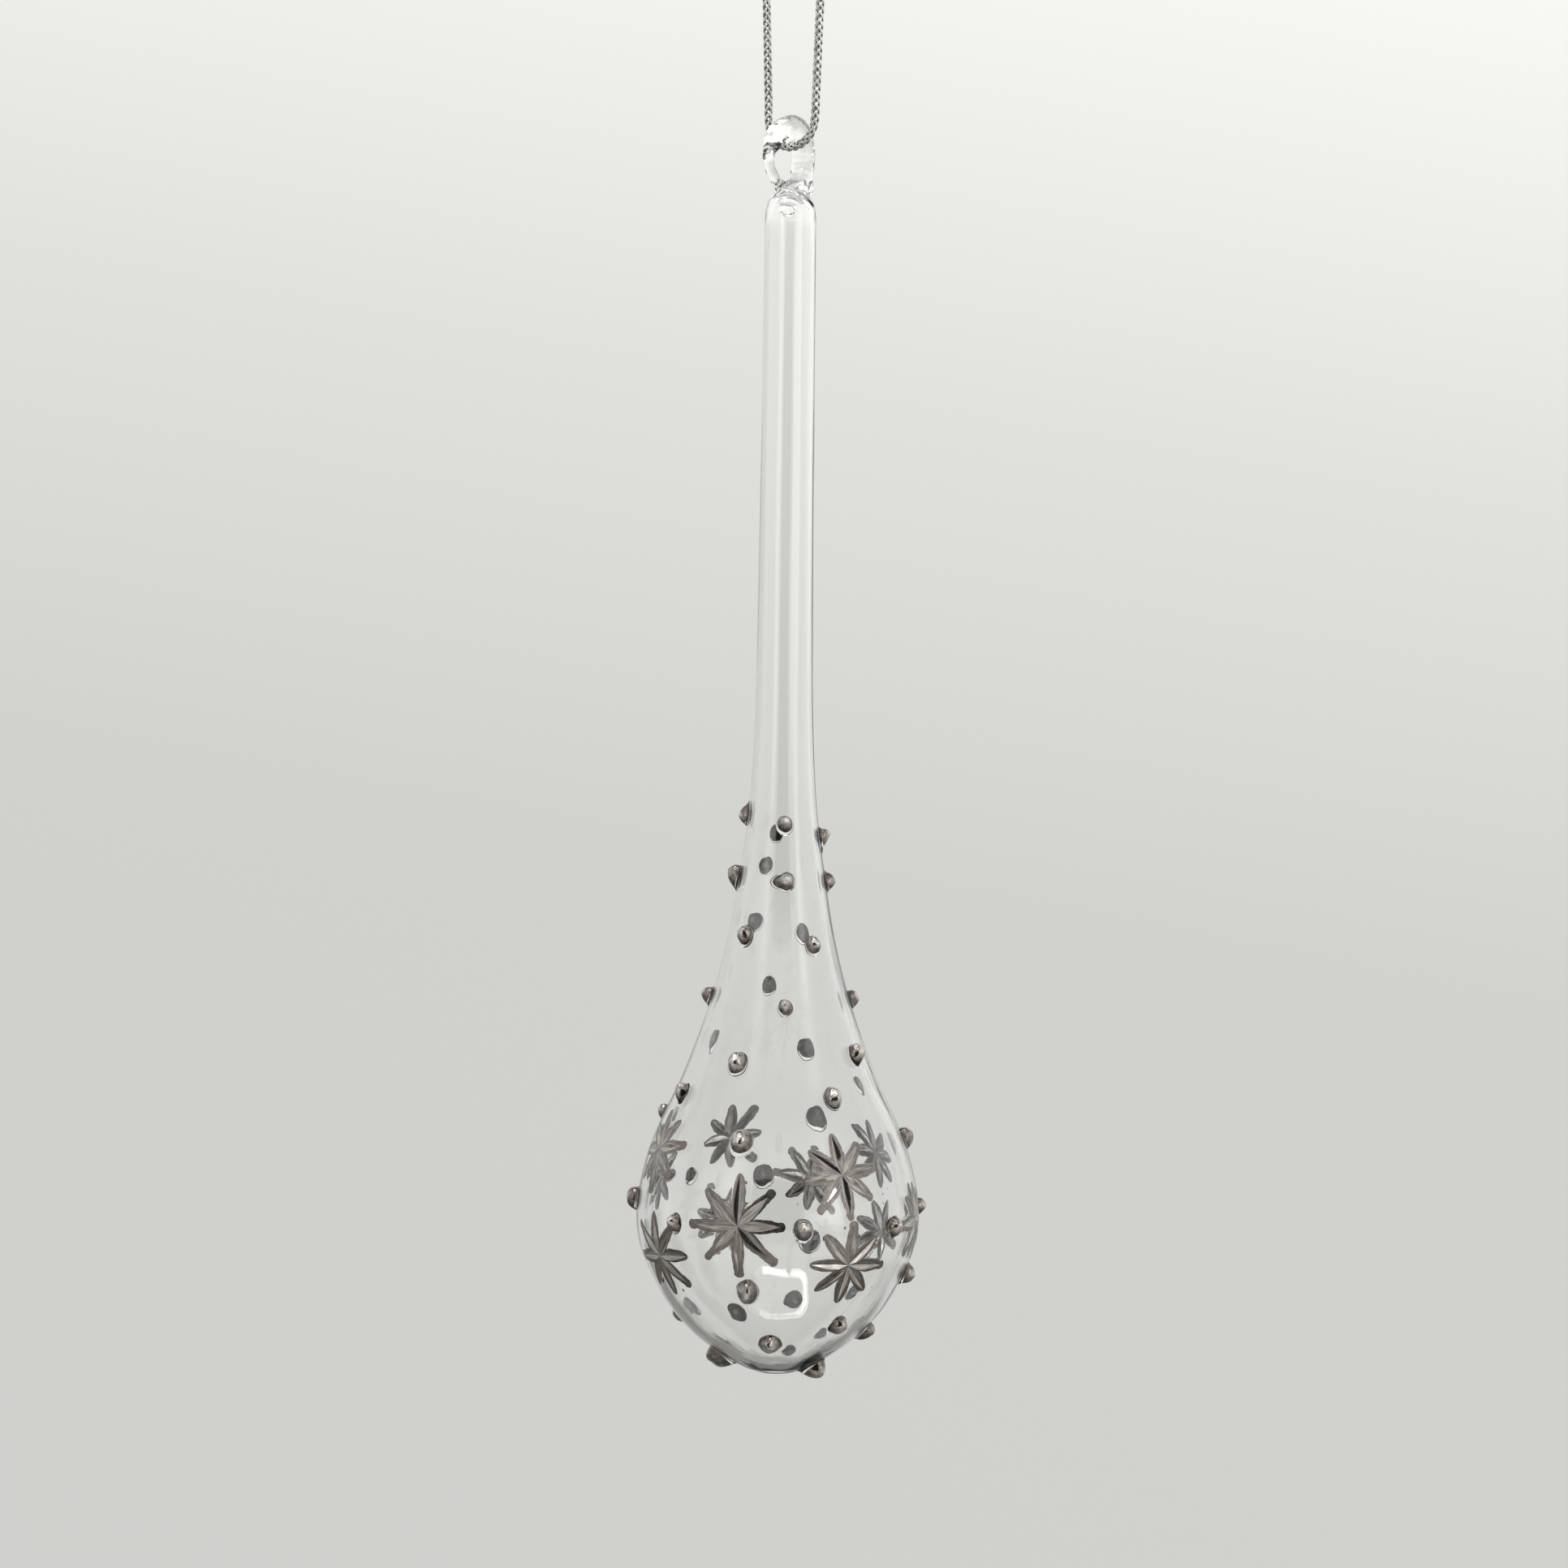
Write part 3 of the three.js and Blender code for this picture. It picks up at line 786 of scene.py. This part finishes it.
def frayed_end(end, direction, rng):
    """A few loose threads at a cut end."""
    parts = []
    for _ in range(THREADS):
        away = Vector((rng.uniform(-1, 1), rng.uniform(-1, 1), rng.uniform(-1, 1)))
        lean = (Vector(direction) + 0.35 * away).normalized()
        length = rng.uniform(0.2, 0.55) * MM
        start = Vector(end) + 0.3 * MM * away.normalized() * rng.random()
        points = np.array([start + lean * length * t for t in (-0.6, 0, 0.5, 1)])
        parts.append((*tube(points, np.array([0.05, 0.05, 0.04, 0.015]) * MM, 5, away), 0))
    return parts


def make_knot():
    rng = random.Random(5)
    across = square_to(CORD_TURN)
    parts = []
    for side in (1, -1):
        line = knot_line(side)
        parts.append((*braid(line, across, KNOT_SCALE), 0))
        parts.append((*tube(line[::3], KNOT_CORE_RADIUS * MM, 8, across), 1))
        parts += frayed_end(line[-1], line[-1] - line[-6], rng)
    verts, faces, numbers = joined(parts)
    return new_object("cord_knot", verts, faces, [BRAID, SHADED_CORE], numbers)


def add_cord():
    cord, line = make_cord()
    knot = make_knot()
    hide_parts("hanging_cord", "cord_bight")
    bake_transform(cord)
    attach(knot, "cord_loop")
    tuple(line[-1])
    round(float(lengths_along(line)[-1]), 4)
    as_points(line[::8])


add_cord()


# ------------ star cuts

CUT_HALF_WIDTH = 0.5
CUT_WIDEST = 0.42
CUT_SLOPE = math.tan(math.radians(25))
CUT_RIM = 0.028
FILM_HALF_WIDTH = 0.8
FILM_GAP = 0.008
GLASS_MARGIN = 0.15
RAYS = 8
SECTOR = math.tan(math.pi / RAYS)


class Ray:
    """One ray of a star: a V cut, pointed outward, inside a leaf of brushed film."""

    def __init__(self, angle, cut, overrun, size, rng):
        self.angle = angle
        self.cut = cut
        self.cut_width = CUT_HALF_WIDTH * size * rng.uniform(0.88, 1.12)
        self.film = cut + overrun
        self.film_width = FILM_HALF_WIDTH * size
        self.tail = rng.uniform(0.42, 0.66) if overrun > 0.3 else 0.0
        self.seeds = (rng.random() * 50, rng.random() * 50)
        self.sides = (rng.uniform(0.88, 1.1), rng.uniform(0.88, 1.1))

    def half_width(self, along):
        """Half width of the cut, whose widest place is nearer the star's middle."""
        share = np.asarray(along) / self.cut
        inner = 1 - 0.75 * np.clip((CUT_WIDEST - share) / CUT_WIDEST, 0, 1) ** 2
        outer = 1 - np.clip((share - CUT_WIDEST) / (1 - CUT_WIDEST), 0, 1) ** 1.5
        return self.cut_width * np.where(share < CUT_WIDEST, inner, outer)

    def depth(self, x, y, margin=0.0):
        along = -x * math.sin(self.angle) + y * math.cos(self.angle)
        across = x * math.cos(self.angle) + y * math.sin(self.angle)
        width = self.half_width(np.abs(along))
        width = width + margin * (width > 0.02)
        return np.where(along > 0, np.maximum(0, CUT_SLOPE * (width - np.abs(across))), 0)

    def film_edge(self, along, side):
        """Half width of the brushed film on one side, with its rounded and uneven end."""
        seed = self.seeds[side > 0]
        ragged = 1 + 0.13 * shake(along * 1.2, seed, 0, 1) + 0.05 * shake(along * 5, seed, 0, 2)
        start = 0.45 * self.cut
        leaf = max(0.0, 1 - (max(0.0, along - start) / (1.04 * self.cut - start)) ** 2.2) ** 0.5
        width = self.film_width * self.sides[side > 0] * leaf
        if self.tail:
            end = max(0.0, 1 - (max(0.0, along - self.film + 0.5) / 0.5) ** 2) ** 0.5
            width = max(width, self.tail * end * (1 + 0.2 * shake(along * 3, seed, 5, 1)))
        return width * ragged


class Star:
    """A star's place and rays."""

    def __init__(self, number, row):
        azimuth, height, length, turn = row
        rng = random.Random(100 + number)
        self.patch = Patch(azimuth, height)
        self.length = length
        self.rng = rng
        self.rays = []
        for k in range(RAYS):
            angle = math.radians(turn) + 2 * math.pi * k / RAYS
            share = rng.uniform(0.86, 0.98)
            overrun = rng.choice([0.05, 0.05, 0.05, 0.1, 0.5, 0.9])
            if number in KNOWN_RAYS:
                share, overrun = KNOWN_RAYS[number][k]
            cut = length * share
            size = min(1, 0.72 + 0.055 * length)
            self.rays.append(Ray(angle, cut, overrun, size, rng))

    def depth(self, x, y, margin=0.0):
        return np.max([ray.depth(x, y, margin) for ray in self.rays], axis=0)


stars = [Star(number, row) for number, row in enumerate(STARS)]


def ray_strip(ray):
    """Rows across a ray, each a list of distances along and across it."""
    tip = ray.film if ray.tail else 1.035 * ray.cut
    stations = np.concatenate([
        np.linspace(0.02, 1.2, 12, endpoint=False),
        np.linspace(1.2, tip - 0.5, 24, endpoint=False),
        tip - 0.5 + 0.5 * np.sin(np.linspace(0, math.pi / 2, 9)),
    ])
    rows = []
    for along in stations:
        border = along * SECTOR
        cut = min(float(ray.half_width(along)), border) if along < ray.cut else 0.0
        rim = min(CUT_RIM, 0.3 * cut)
        left = min(max(ray.film_edge(along, -1), 1.05 * cut), border)
        right = min(max(ray.film_edge(along, 1), 1.05 * cut), border)
        out_left, out_right = min(cut + rim, left), min(cut + rim, right)
        columns = [
            -left, -(left + out_left) / 2, -out_left, rim - cut, -cut / 2, 0,
            cut / 2, cut - rim, out_right, (right + out_right) / 2, right,
        ]
        rows.append([(along, across) for across in columns])
    return rows


STRIP_COLUMNS = 11
CUT_COLUMNS = range(3, 7)


def make_star(number, star):
    verts, faces, numbers, uvs = [], [], [], []
    for ray in star.rays:
        rows = ray_strip(ray)
        start = len(verts)
        for row in rows:
            for along, across in row:
                x = -along * math.sin(ray.angle) + across * math.cos(ray.angle)
                y = along * math.cos(ray.angle) + across * math.sin(ray.angle)
                depth = float(star.depth(np.array(x), np.array(y)))
                verts.append(star.patch.point(x, y, FILM_GAP - depth))
                uvs.append((across + 3.1 * ray.angle, along + 7.7 * number))
        for index, quad in enumerate(grid_faces(len(rows), STRIP_COLUMNS, start, closed=False)):
            row, column = divmod(index, STRIP_COLUMNS - 1)
            faces.append(quad)
            numbers.append(0 if column in CUT_COLUMNS and rows[row][0][0] < ray.cut else 1)
    for _ in range(star.rng.choice([1, 2, 3])):
        add_splash(star, verts, faces, numbers, uvs)
    name = f"star_film_{number + 1:02d}"
    obj = new_object(name, verts, faces, [CUT_METAL, FILM_METAL], numbers)
    set_uvs(obj.data, uvs)
    weld(obj.data)
    mark_sharp(obj.data, 16)
    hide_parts(f"cut_star_{number + 1:02d}")
    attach(obj, "glass_ornament")


def add_splash(star, verts, faces, numbers, uvs):
    """A speck of film that missed the rays."""
    rng = star.rng
    angle = rng.random() * 2 * math.pi
    away = star.length * rng.uniform(0.75, 1.05)
    size = rng.uniform(0.06, 0.2)
    centre = (away * math.cos(angle), away * math.sin(angle))
    start, count = len(verts), 10
    for i in range(count):
        a = 2 * math.pi * i / count
        r = size * rng.uniform(0.7, 1.25)
        x, y = centre[0] + r * math.cos(a), centre[1] + 1.3 * r * math.sin(a)
        verts.append(star.patch.point(x, y, FILM_GAP))
        uvs.append((x, y))
    faces.append(tuple(range(start, start + count)))
    numbers.append(1)


def weld(mesh):
    bm = bmesh.new()
    bm.from_mesh(mesh)
    bmesh.ops.remove_doubles(bm, verts=bm.verts, dist=1.5e-6)
    bmesh.ops.dissolve_degenerate(bm, edges=bm.edges, dist=1e-6)
    bm.to_mesh(mesh)
    bm.free()


# ------------ the glass drop

SIDES = 360
INNER_SIDES = 144
CUT_HEIGHTS = (7.5, 31.5)  # of the lowest and the highest star cut
FLARE_TOP = 66


def row_places():
    """Distances along the outline for rows of the outer glass, close together where cuts are."""
    low, high = outline.at_height(CUT_HEIGHTS[0]), outline.at_height(CUT_HEIGHTS[1])
    flare, top = outline.at_height(FLARE_TOP), outline.along[-1]
    return np.concatenate([
        np.linspace(0.25, low, 26, endpoint=False),
        np.linspace(low, high, 108, endpoint=False),
        np.linspace(high, flare, 44, endpoint=False),
        np.linspace(flare, top, 34, endpoint=False),
    ])


def cut_depths(azimuths, along):
    """Depth of the star cuts over a grid of the outer glass."""
    grid_azimuth, grid_along = np.meshgrid(azimuths, along)
    depth = np.zeros_like(grid_azimuth)
    for star in stars:
        patch = star.patch
        y = grid_along - patch.along
        turn = (grid_azimuth - patch.azimuth + math.pi) % (2 * math.pi) - math.pi
        narrowest = NARROWEST_SHARE * outline.radius(patch.along)
        x = turn * np.maximum(outline.radius(grid_along), narrowest)
        near = (np.abs(y) < 1.2 * star.length) & (np.abs(x) < 1.2 * star.length)
        if near.any():
            depth[near] = np.maximum(depth[near], star.depth(x[near], y[near], GLASS_MARGIN))
    return depth


def capped(rings, pole_low, pole_high, flip=False):
    """A closed shell from rings of points and its two poles."""
    rows, sides = len(rings), len(rings[0])
    verts = np.vstack([np.array(rings).reshape(-1, 3), [pole_low, pole_high]])
    faces = grid_faces(rows, sides, flip=flip)
    low, high = rows * sides, rows * sides + 1
    last = (rows - 1) * sides
    for j in range(sides):
        k = (j + 1) % sides
        bottom, top = (low, k, j), (high, last + j, last + k)
        faces.append(bottom[::-1] if flip else bottom)
        faces.append(top[::-1] if flip else top)
    return verts, faces


def lathe_ring(radius, height, azimuths):
    return np.column_stack([
        radius * np.sin(azimuths) * MM,
        -radius * np.cos(azimuths) * MM,
        np.full(len(azimuths), TIP_Z + height * MM),
    ])


def outer_shell():
    azimuths = np.linspace(0, 2 * math.pi, SIDES, endpoint=False)
    along = row_places()
    depth = cut_depths(azimuths, along)
    rings = [outline.point(azimuths, s, -depth[i]) for i, s in enumerate(along)]
    shoulder = catmull_rom(SHOULDER, 4, before=(2.87, 126.2))
    rings += [lathe_ring(r, h, azimuths) for r, h in shoulder[:-1]]
    high = (0, 0, TIP_Z + SHOULDER[-1][1] * MM)
    return capped(rings, (0, 0, TIP_Z), high)


def wall_at(along):
    """Thickness of the wall: even in the stem, thicker in the drop and most at its tip."""
    thinner = smoothstep(along, *WALL_CHANGES)
    tip = TIP_EXTRA_WALL * math.exp(-along / TIP_WALL_REACH)
    return DROP_WALL + (STEM_WALL - DROP_WALL) * thinner + tip


def wander(azimuth, along):
    """How much thicker the wall is at one place, from unevenness of three sizes."""
    c, s = math.cos(azimuth), math.sin(azimuth)
    return (
        0.06 * shake(1.3 * c, 1.3 * s, along / 30, 3)
        + 0.02 * shake(3.5 * c, 3.5 * s, along / 60, 4)
        + 0.005 * shake(9 * c, 9 * s, along / 70, 8)
    )


def inner_shell():
    """The bore: it wanders a little, as blown walls do, and ends above in a hanging drip."""
    azimuths = np.linspace(0, 2 * math.pi, INNER_SIDES, endpoint=False)
    top = outline.along[-1]
    along = np.concatenate([
        np.linspace(0.6, 60, 90, endpoint=False), np.linspace(60, top, 40, endpoint=False)
    ])
    rings = []
    for s in along:
        shift = np.array([wander(a, s) for a in azimuths])
        rings.append(outline.point(azimuths, s, -(wall_at(s) + shift * min(1, s / 4))))
    ceiling = catmull_rom(CEILING, 4, before=(2.36, 126.0))
    for r, h in ceiling[:-1]:
        ring = lathe_ring(r, h, azimuths)
        ring[:, 0] += DRIP_SHIFT * MM * smoothstep(1.4 - r, 0, 0.6)
        rings.append(ring)
    low = outline.point(0.0, 0.0, -wall_at(0.0))
    high = (DRIP_SHIFT * MM, 0, TIP_Z + CEILING[-1][1] * MM)
    return capped(rings, tuple(low), high, flip=True)


# ------------ the eye

EYE_VOXEL = 0.00008
EYE_LUMP_SIZE = 0.0013
EYE_LUMP_HEIGHT = 0.0001
# Threads of glass drawn round the neck when the eye was fused on: x, y, height and radius.
NECK_THREADS = [
    [(-2.0, -1.0, 132.4, 0.35), (-1.1, -1.8, 131.6, 0.42), (0.5, -2.0, 130.95, 0.42),
     (1.8, -1.5, 130.3, 0.36), (2.45, -0.8, 129.6, 0.25)],
    [(1.6, -1.2, 132.3, 0.35), (0.3, -1.8, 131.7, 0.38), (-1.0, -1.9, 131.1, 0.36),
     (-1.9, -1.4, 130.5, 0.25)],
    [(1.8, 1.0, 132.2, 0.4), (0.2, 1.9, 131.4, 0.45), (-1.6, 1.4, 130.8, 0.4)],
]
# Lumps in the neck: middle and radii.
NECK_BLOBS = [
    ((0.1, 0, 131.75), (1.95, 1.95, 0.8)), ((0.9, 0, 132.0), (1.4, 1.5, 1.1)),
    ((2.3, -0.9, 131.95), (0.6, 0.6, 0.7)), ((2.75, -0.8, 132.35), (0.33, 0.33, 0.55)),
]
NECK_HEIGHTS = (129.3, 132.8)
NECK_SMOOTHINGS = 8


def blob(centre, radii):
    """Verts and faces of an ellipsoid: centre in metres, radii in millimetres."""
    bm = bmesh.new()
    bmesh.ops.create_icosphere(bm, subdivisions=4, radius=1)
    verts = np.array([v.co for v in bm.verts]) * np.array(radii) * MM + np.array(centre)
    faces = [tuple(v.index for v in f.verts) for f in bm.faces]
    bm.free()
    return verts, faces


def eye_point(across, side, height):
    """A point from the plane of the eye's ring, in metres."""
    c, s = math.cos(EYE_TURN), math.sin(EYE_TURN)
    return np.array([
        (across * c - side * s) * MM, (across * s + side * c) * MM, TIP_Z + height * MM
    ])


def evaluated(obj):
    """The object's mesh with its modifiers done; the object itself is removed."""
    graph = bpy.context.evaluated_depsgraph_get()
    mesh = bpy.data.meshes.new_from_object(obj.evaluated_get(graph))
    old = obj.data
    bpy.data.objects.remove(obj)
    bpy.data.meshes.remove(old)
    return mesh


def vectors(items, name):
    """One vector of each of a mesh's items, as rows."""
    out = np.zeros(3 * len(items))
    items.foreach_get(name, out)
    return out.reshape(-1, 3)


def eye_mesh():
    path = catmull_rom(EYE_PATH, 16, power=0.5)
    points = in_plane(np.column_stack([path[:, 0] * MM, TIP_Z + path[:, 1] * MM]), EYE_TURN)
    parts = [(*tube(points, path[:, 2] * MM, 20, square_to(EYE_TURN)), 0)]
    parts += [(*blob(eye_point(*centre), radii), 0) for centre, radii in NECK_BLOBS]
    for thread in NECK_THREADS:
        line = catmull_rom(thread, 10, power=0.5)
        points = line[:, :3] * MM + (0, 0, TIP_Z)
        parts.append((*tube(points, line[:, 3] * MM, 14, (0, 0, 1)), 0))
    verts, faces, _ = joined(parts)
    eye = new_object("eye_parts", verts, faces, [])
    remesh = eye.modifiers.new("remesh", "REMESH")
    remesh.mode = "VOXEL"
    remesh.voxel_size = EYE_VOXEL
    smooth = eye.modifiers.new("smooth", "SMOOTH")
    smooth.factor = 0.6
    smooth.iterations = 8
    mesh = evaluated(eye)
    places = [vert.co / EYE_LUMP_SIZE for vert in mesh.vertices]
    lumps = [shake(*place, 11) + 0.4 * shake(*(2.3 * place), 12) for place in places]
    co, normals = vectors(mesh.vertices, "co"), vectors(mesh.vertices, "normal")
    co += normals * (EYE_LUMP_HEIGHT * np.array(lumps))[:, None]
    mesh.vertices.foreach_set("co", co.ravel())
    return mesh


def fused_outside():
    """The outer surface of the drop with the eye melted onto its closed top."""
    verts, faces = outer_shell()
    drop = new_object("drop_outside", verts, faces, [])
    eye = bpy.data.objects.new("eye_solid", eye_mesh())
    bpy.context.scene.collection.objects.link(eye)
    union = drop.modifiers.new("fused", "BOOLEAN")
    union.operation = "UNION"
    union.solver = "MANIFOLD"
    union.object = eye
    mesh = evaluated(drop)
    bpy.data.objects.remove(eye)
    bm = bmesh.new()
    bm.from_mesh(mesh)
    low, high = (TIP_Z + height * MM for height in NECK_HEIGHTS)
    neck = [v for v in bm.verts if low < v.co.z < high]
    for _ in range(NECK_SMOOTHINGS):
        bmesh.ops.smooth_vert(bm, verts=neck, factor=0.5, use_axis_x=True, use_axis_y=True,
                              use_axis_z=True)
    bm.to_mesh(mesh)
    bm.free()
    return mesh


def add_glass():
    """One piece of glass: the drop, its bore and the eye that is fused to it."""
    outside = fused_outside()
    faces = [tuple(p.vertices) for p in outside.polygons]
    verts = vectors(outside.vertices, "co")
    verts, faces, _ = joined([(verts, faces, 0), (*inner_shell(), 0)])
    glass = new_object("blown_glass", verts, faces, [GLASS])
    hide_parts("glass_drop", "glass_eye")
    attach(glass, "glass_ornament")


# ------------ nubs

NUB_SIDES = 30
FOOT_GAP = 0.014
FOOT_RINGS = (0.3, 0.65, 0.9)
GLASS_LEVELS = 4  # rings from the foot to the film's edge
FILM_STEPS = 12
FILM_END = 0.99  # last ring's share of the way up to the crown
FOOT_UV = (0.0, 0.0)
CROWN_UV = (1.5, 1.0)
UNDERSIDE_SHARE = 0.96  # of the film's distance from the middle of the foot
# Nubs pulled out to a tail along the glass: its direction, 0 to the right and 90 up, and reach.
TAILS = {(6, 54.7): (180, 0.9), (91, 59.7): (262, 0.8), (270, 61.8): (80, 0.8),
         (268, 55.2): (270, 0.4), (98, 54.5): (85, 0.5), (240, 36.8): (275, 0.4)}


def nub_profile(hat):
    """Outline from foot to crown, for a foot radius and a height of 1: dome (0) to hat (1)."""
    body = 0.9 - 0.22 * hat
    t = np.linspace(0, math.pi / 2, 50)
    z = np.sin(t)
    skirt = np.clip(1 - z / (0.2 + 0.2 * hat), 0, 1) ** 2
    return np.column_stack([body * np.cos(t) ** (1 + 0.5 * hat) + (1 - body) * skirt, z])


class NubShape:
    """One nub's size, lean, tail and line where its film starts."""

    def __init__(self, row, rng):
        azimuth, height, radius = row
        self.radius = radius
        self.tail_angle, self.tail = TAILS.get((azimuth, height), (0, 0))
        hat = rng.choice([0.0, 0.1, 0.25, 0.45, 0.75])
        self.height = radius * rng.uniform(0.9, 1.05) * (1 + 0.15 * hat)
        self.lean = rng.uniform(0.14, 0.36)
        self.side_lean = rng.uniform(-0.1, 0.1)
        self.long = rng.uniform(1.02, 1.16)
        self.wide = rng.uniform(0.86, 0.96)
        self.film_low = rng.uniform(0.16, 0.34)
        self.film_high = rng.uniform(0.02, 0.1)
        self.film_turn = rng.uniform(-0.9, 0.9)
        self.seed = rng.random() * 100
        points = nub_profile(hat)
        self.shares = lengths_along(points) / lengths_along(points)[-1]
        self.profile = points

    def film_line(self, angle):
        """Share of the way up the outline where the film starts: low above, high below."""
        down = 0.5 - 0.5 * math.sin(angle + self.film_turn)
        level = self.film_high + (self.film_low - self.film_high) * down ** 1.6
        wobble = 0.035 * shake(1.5 * math.cos(angle), 1.5 * math.sin(angle), self.seed, 5)
        return level + wobble

    def point(self, angle, share):
        """x, y and height over the glass of a point of the bead, in millimetres."""
        r = np.interp(share, self.shares, self.profile[:, 0])
        z = np.interp(share, self.shares, self.profile[:, 1]) * self.height
        c, s = math.cos(angle), math.sin(angle)
        lump = 1 + 0.09 * shake(1.2 * c, 1.2 * s, self.seed + 1.5 * share, 6)
        turn = angle - math.radians(self.tail_angle)
        near = (math.cos(turn) + 1) / 2
        lump *= 1 + self.tail * near ** 16 * (1 - share) ** 1.3
        x = self.radius * self.wide * r * lump * c + self.side_lean * z
        y = self.radius * self.long * r * lump * s + self.lean * z
        swell = shake(1.6 * r * c, 1.6 * r * s, self.seed + 9, 7)
        return x, y, z * (1 + 0.16 * swell * min(1, 2 * share))


def bead_point(shape, patch, angle, share):
    """A point of a bead laid on the drop, in metres."""
    x, y, z = shape.point(angle, share)
    return tuple(Vector(patch.point(x, y, FOOT_GAP)) + patch.outward * (z * MM))


def foot_rings(shape, patch, angles):
    """Rings of the flat underneath, out from its middle."""
    edge = [shape.point(a, 0)[:2] for a in angles]
    return [[patch.point(size * x, size * y, FOOT_GAP) for x, y in edge] for size in FOOT_RINGS]


def bead_rings(shape, patch, angles):
    """Rings from the foot to just under the crown, and a place on the film for each point."""
    rings, uvs = [], []
    for level in range(GLASS_LEVELS + FILM_STEPS + 1):
        ring = []
        for a in angles:
            film = shape.film_line(a)
            share = film * level / GLASS_LEVELS
            if level >= GLASS_LEVELS:
                share = film + (FILM_END - film) * (level - GLASS_LEVELS) / FILM_STEPS
            ring.append(bead_point(shape, patch, a, share))
            uvs.append((math.pi - abs(a - math.pi), share))
        rings.append(ring)
    return rings, uvs


def underside(film, crown, foot_middle):
    """A dull layer just inside the film: its verts and faces."""
    verts = foot_middle + UNDERSIDE_SHARE * (np.vstack([film, crown]) - foot_middle)
    rows = len(film) // NUB_SIDES
    faces = grid_faces(rows, NUB_SIDES)
    last = (rows - 1) * NUB_SIDES
    faces += [(len(film), last + j, last + (j + 1) % NUB_SIDES) for j in range(NUB_SIDES)]
    return verts, faces


def make_nub(name, row, node=None):
    """A clear glass bead with its upper part in metal film, and the film's underside."""
    azimuth, height, _ = row
    shape = NubShape(row, random.Random(f"nub {azimuth} {height}"))
    patch = Patch(azimuth, height)
    angles = np.linspace(0, 2 * math.pi, NUB_SIDES, endpoint=False)
    foot = foot_rings(shape, patch, angles)
    bead, bead_uvs = bead_rings(shape, patch, angles)
    crown = bead_point(shape, patch, 0, 1)
    foot_middle = np.array(patch.point(0, 0, FOOT_GAP))
    verts, faces = capped(foot + bead, tuple(foot_middle), crown)
    film_from = (len(foot) + GLASS_LEVELS) * NUB_SIDES
    foot_pole = len(verts) - 2
    numbers = [int(min(face) >= film_from and foot_pole not in face) for face in faces]
    under, under_faces = underside(verts[film_from:foot_pole], crown, foot_middle)
    numbers += [2] * len(under_faces)
    uvs = [FOOT_UV] * (len(foot) * NUB_SIDES) + bead_uvs + [FOOT_UV, CROWN_UV]
    uvs += uvs[film_from:foot_pole] + [CROWN_UV]
    verts, faces, _ = joined([(verts, faces, 0), (under, under_faces, 0)])
    obj = new_object(name, verts, faces, [FOOT_GLASS, NUB_METAL, UNDERSIDE], numbers)
    set_uvs(obj.data, uvs)
    if node:
        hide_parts(node)
    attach(obj, "glass_ornament")


def add_nubs():
    for kind, rows in (("flare", FLARE_NUBS), ("drop", DROP_NUBS)):
        for number, row in enumerate(rows, 1):
            make_nub(f"{kind}_bead_{number:02d}", row, f"{kind}_nub_{number:02d}")
    for number, row in enumerate(EXTRA_NUBS, 1):
        make_nub(f"small_bead_{number:02d}", row)


# ------------ the whole


add_glass()
add_nubs()
for number, star in enumerate(stars):
    make_star(number, star)
add_sweep()
add_world()
add_lamp()
add_card()
bpy.context.scene.view_settings.view_transform = "Standard"
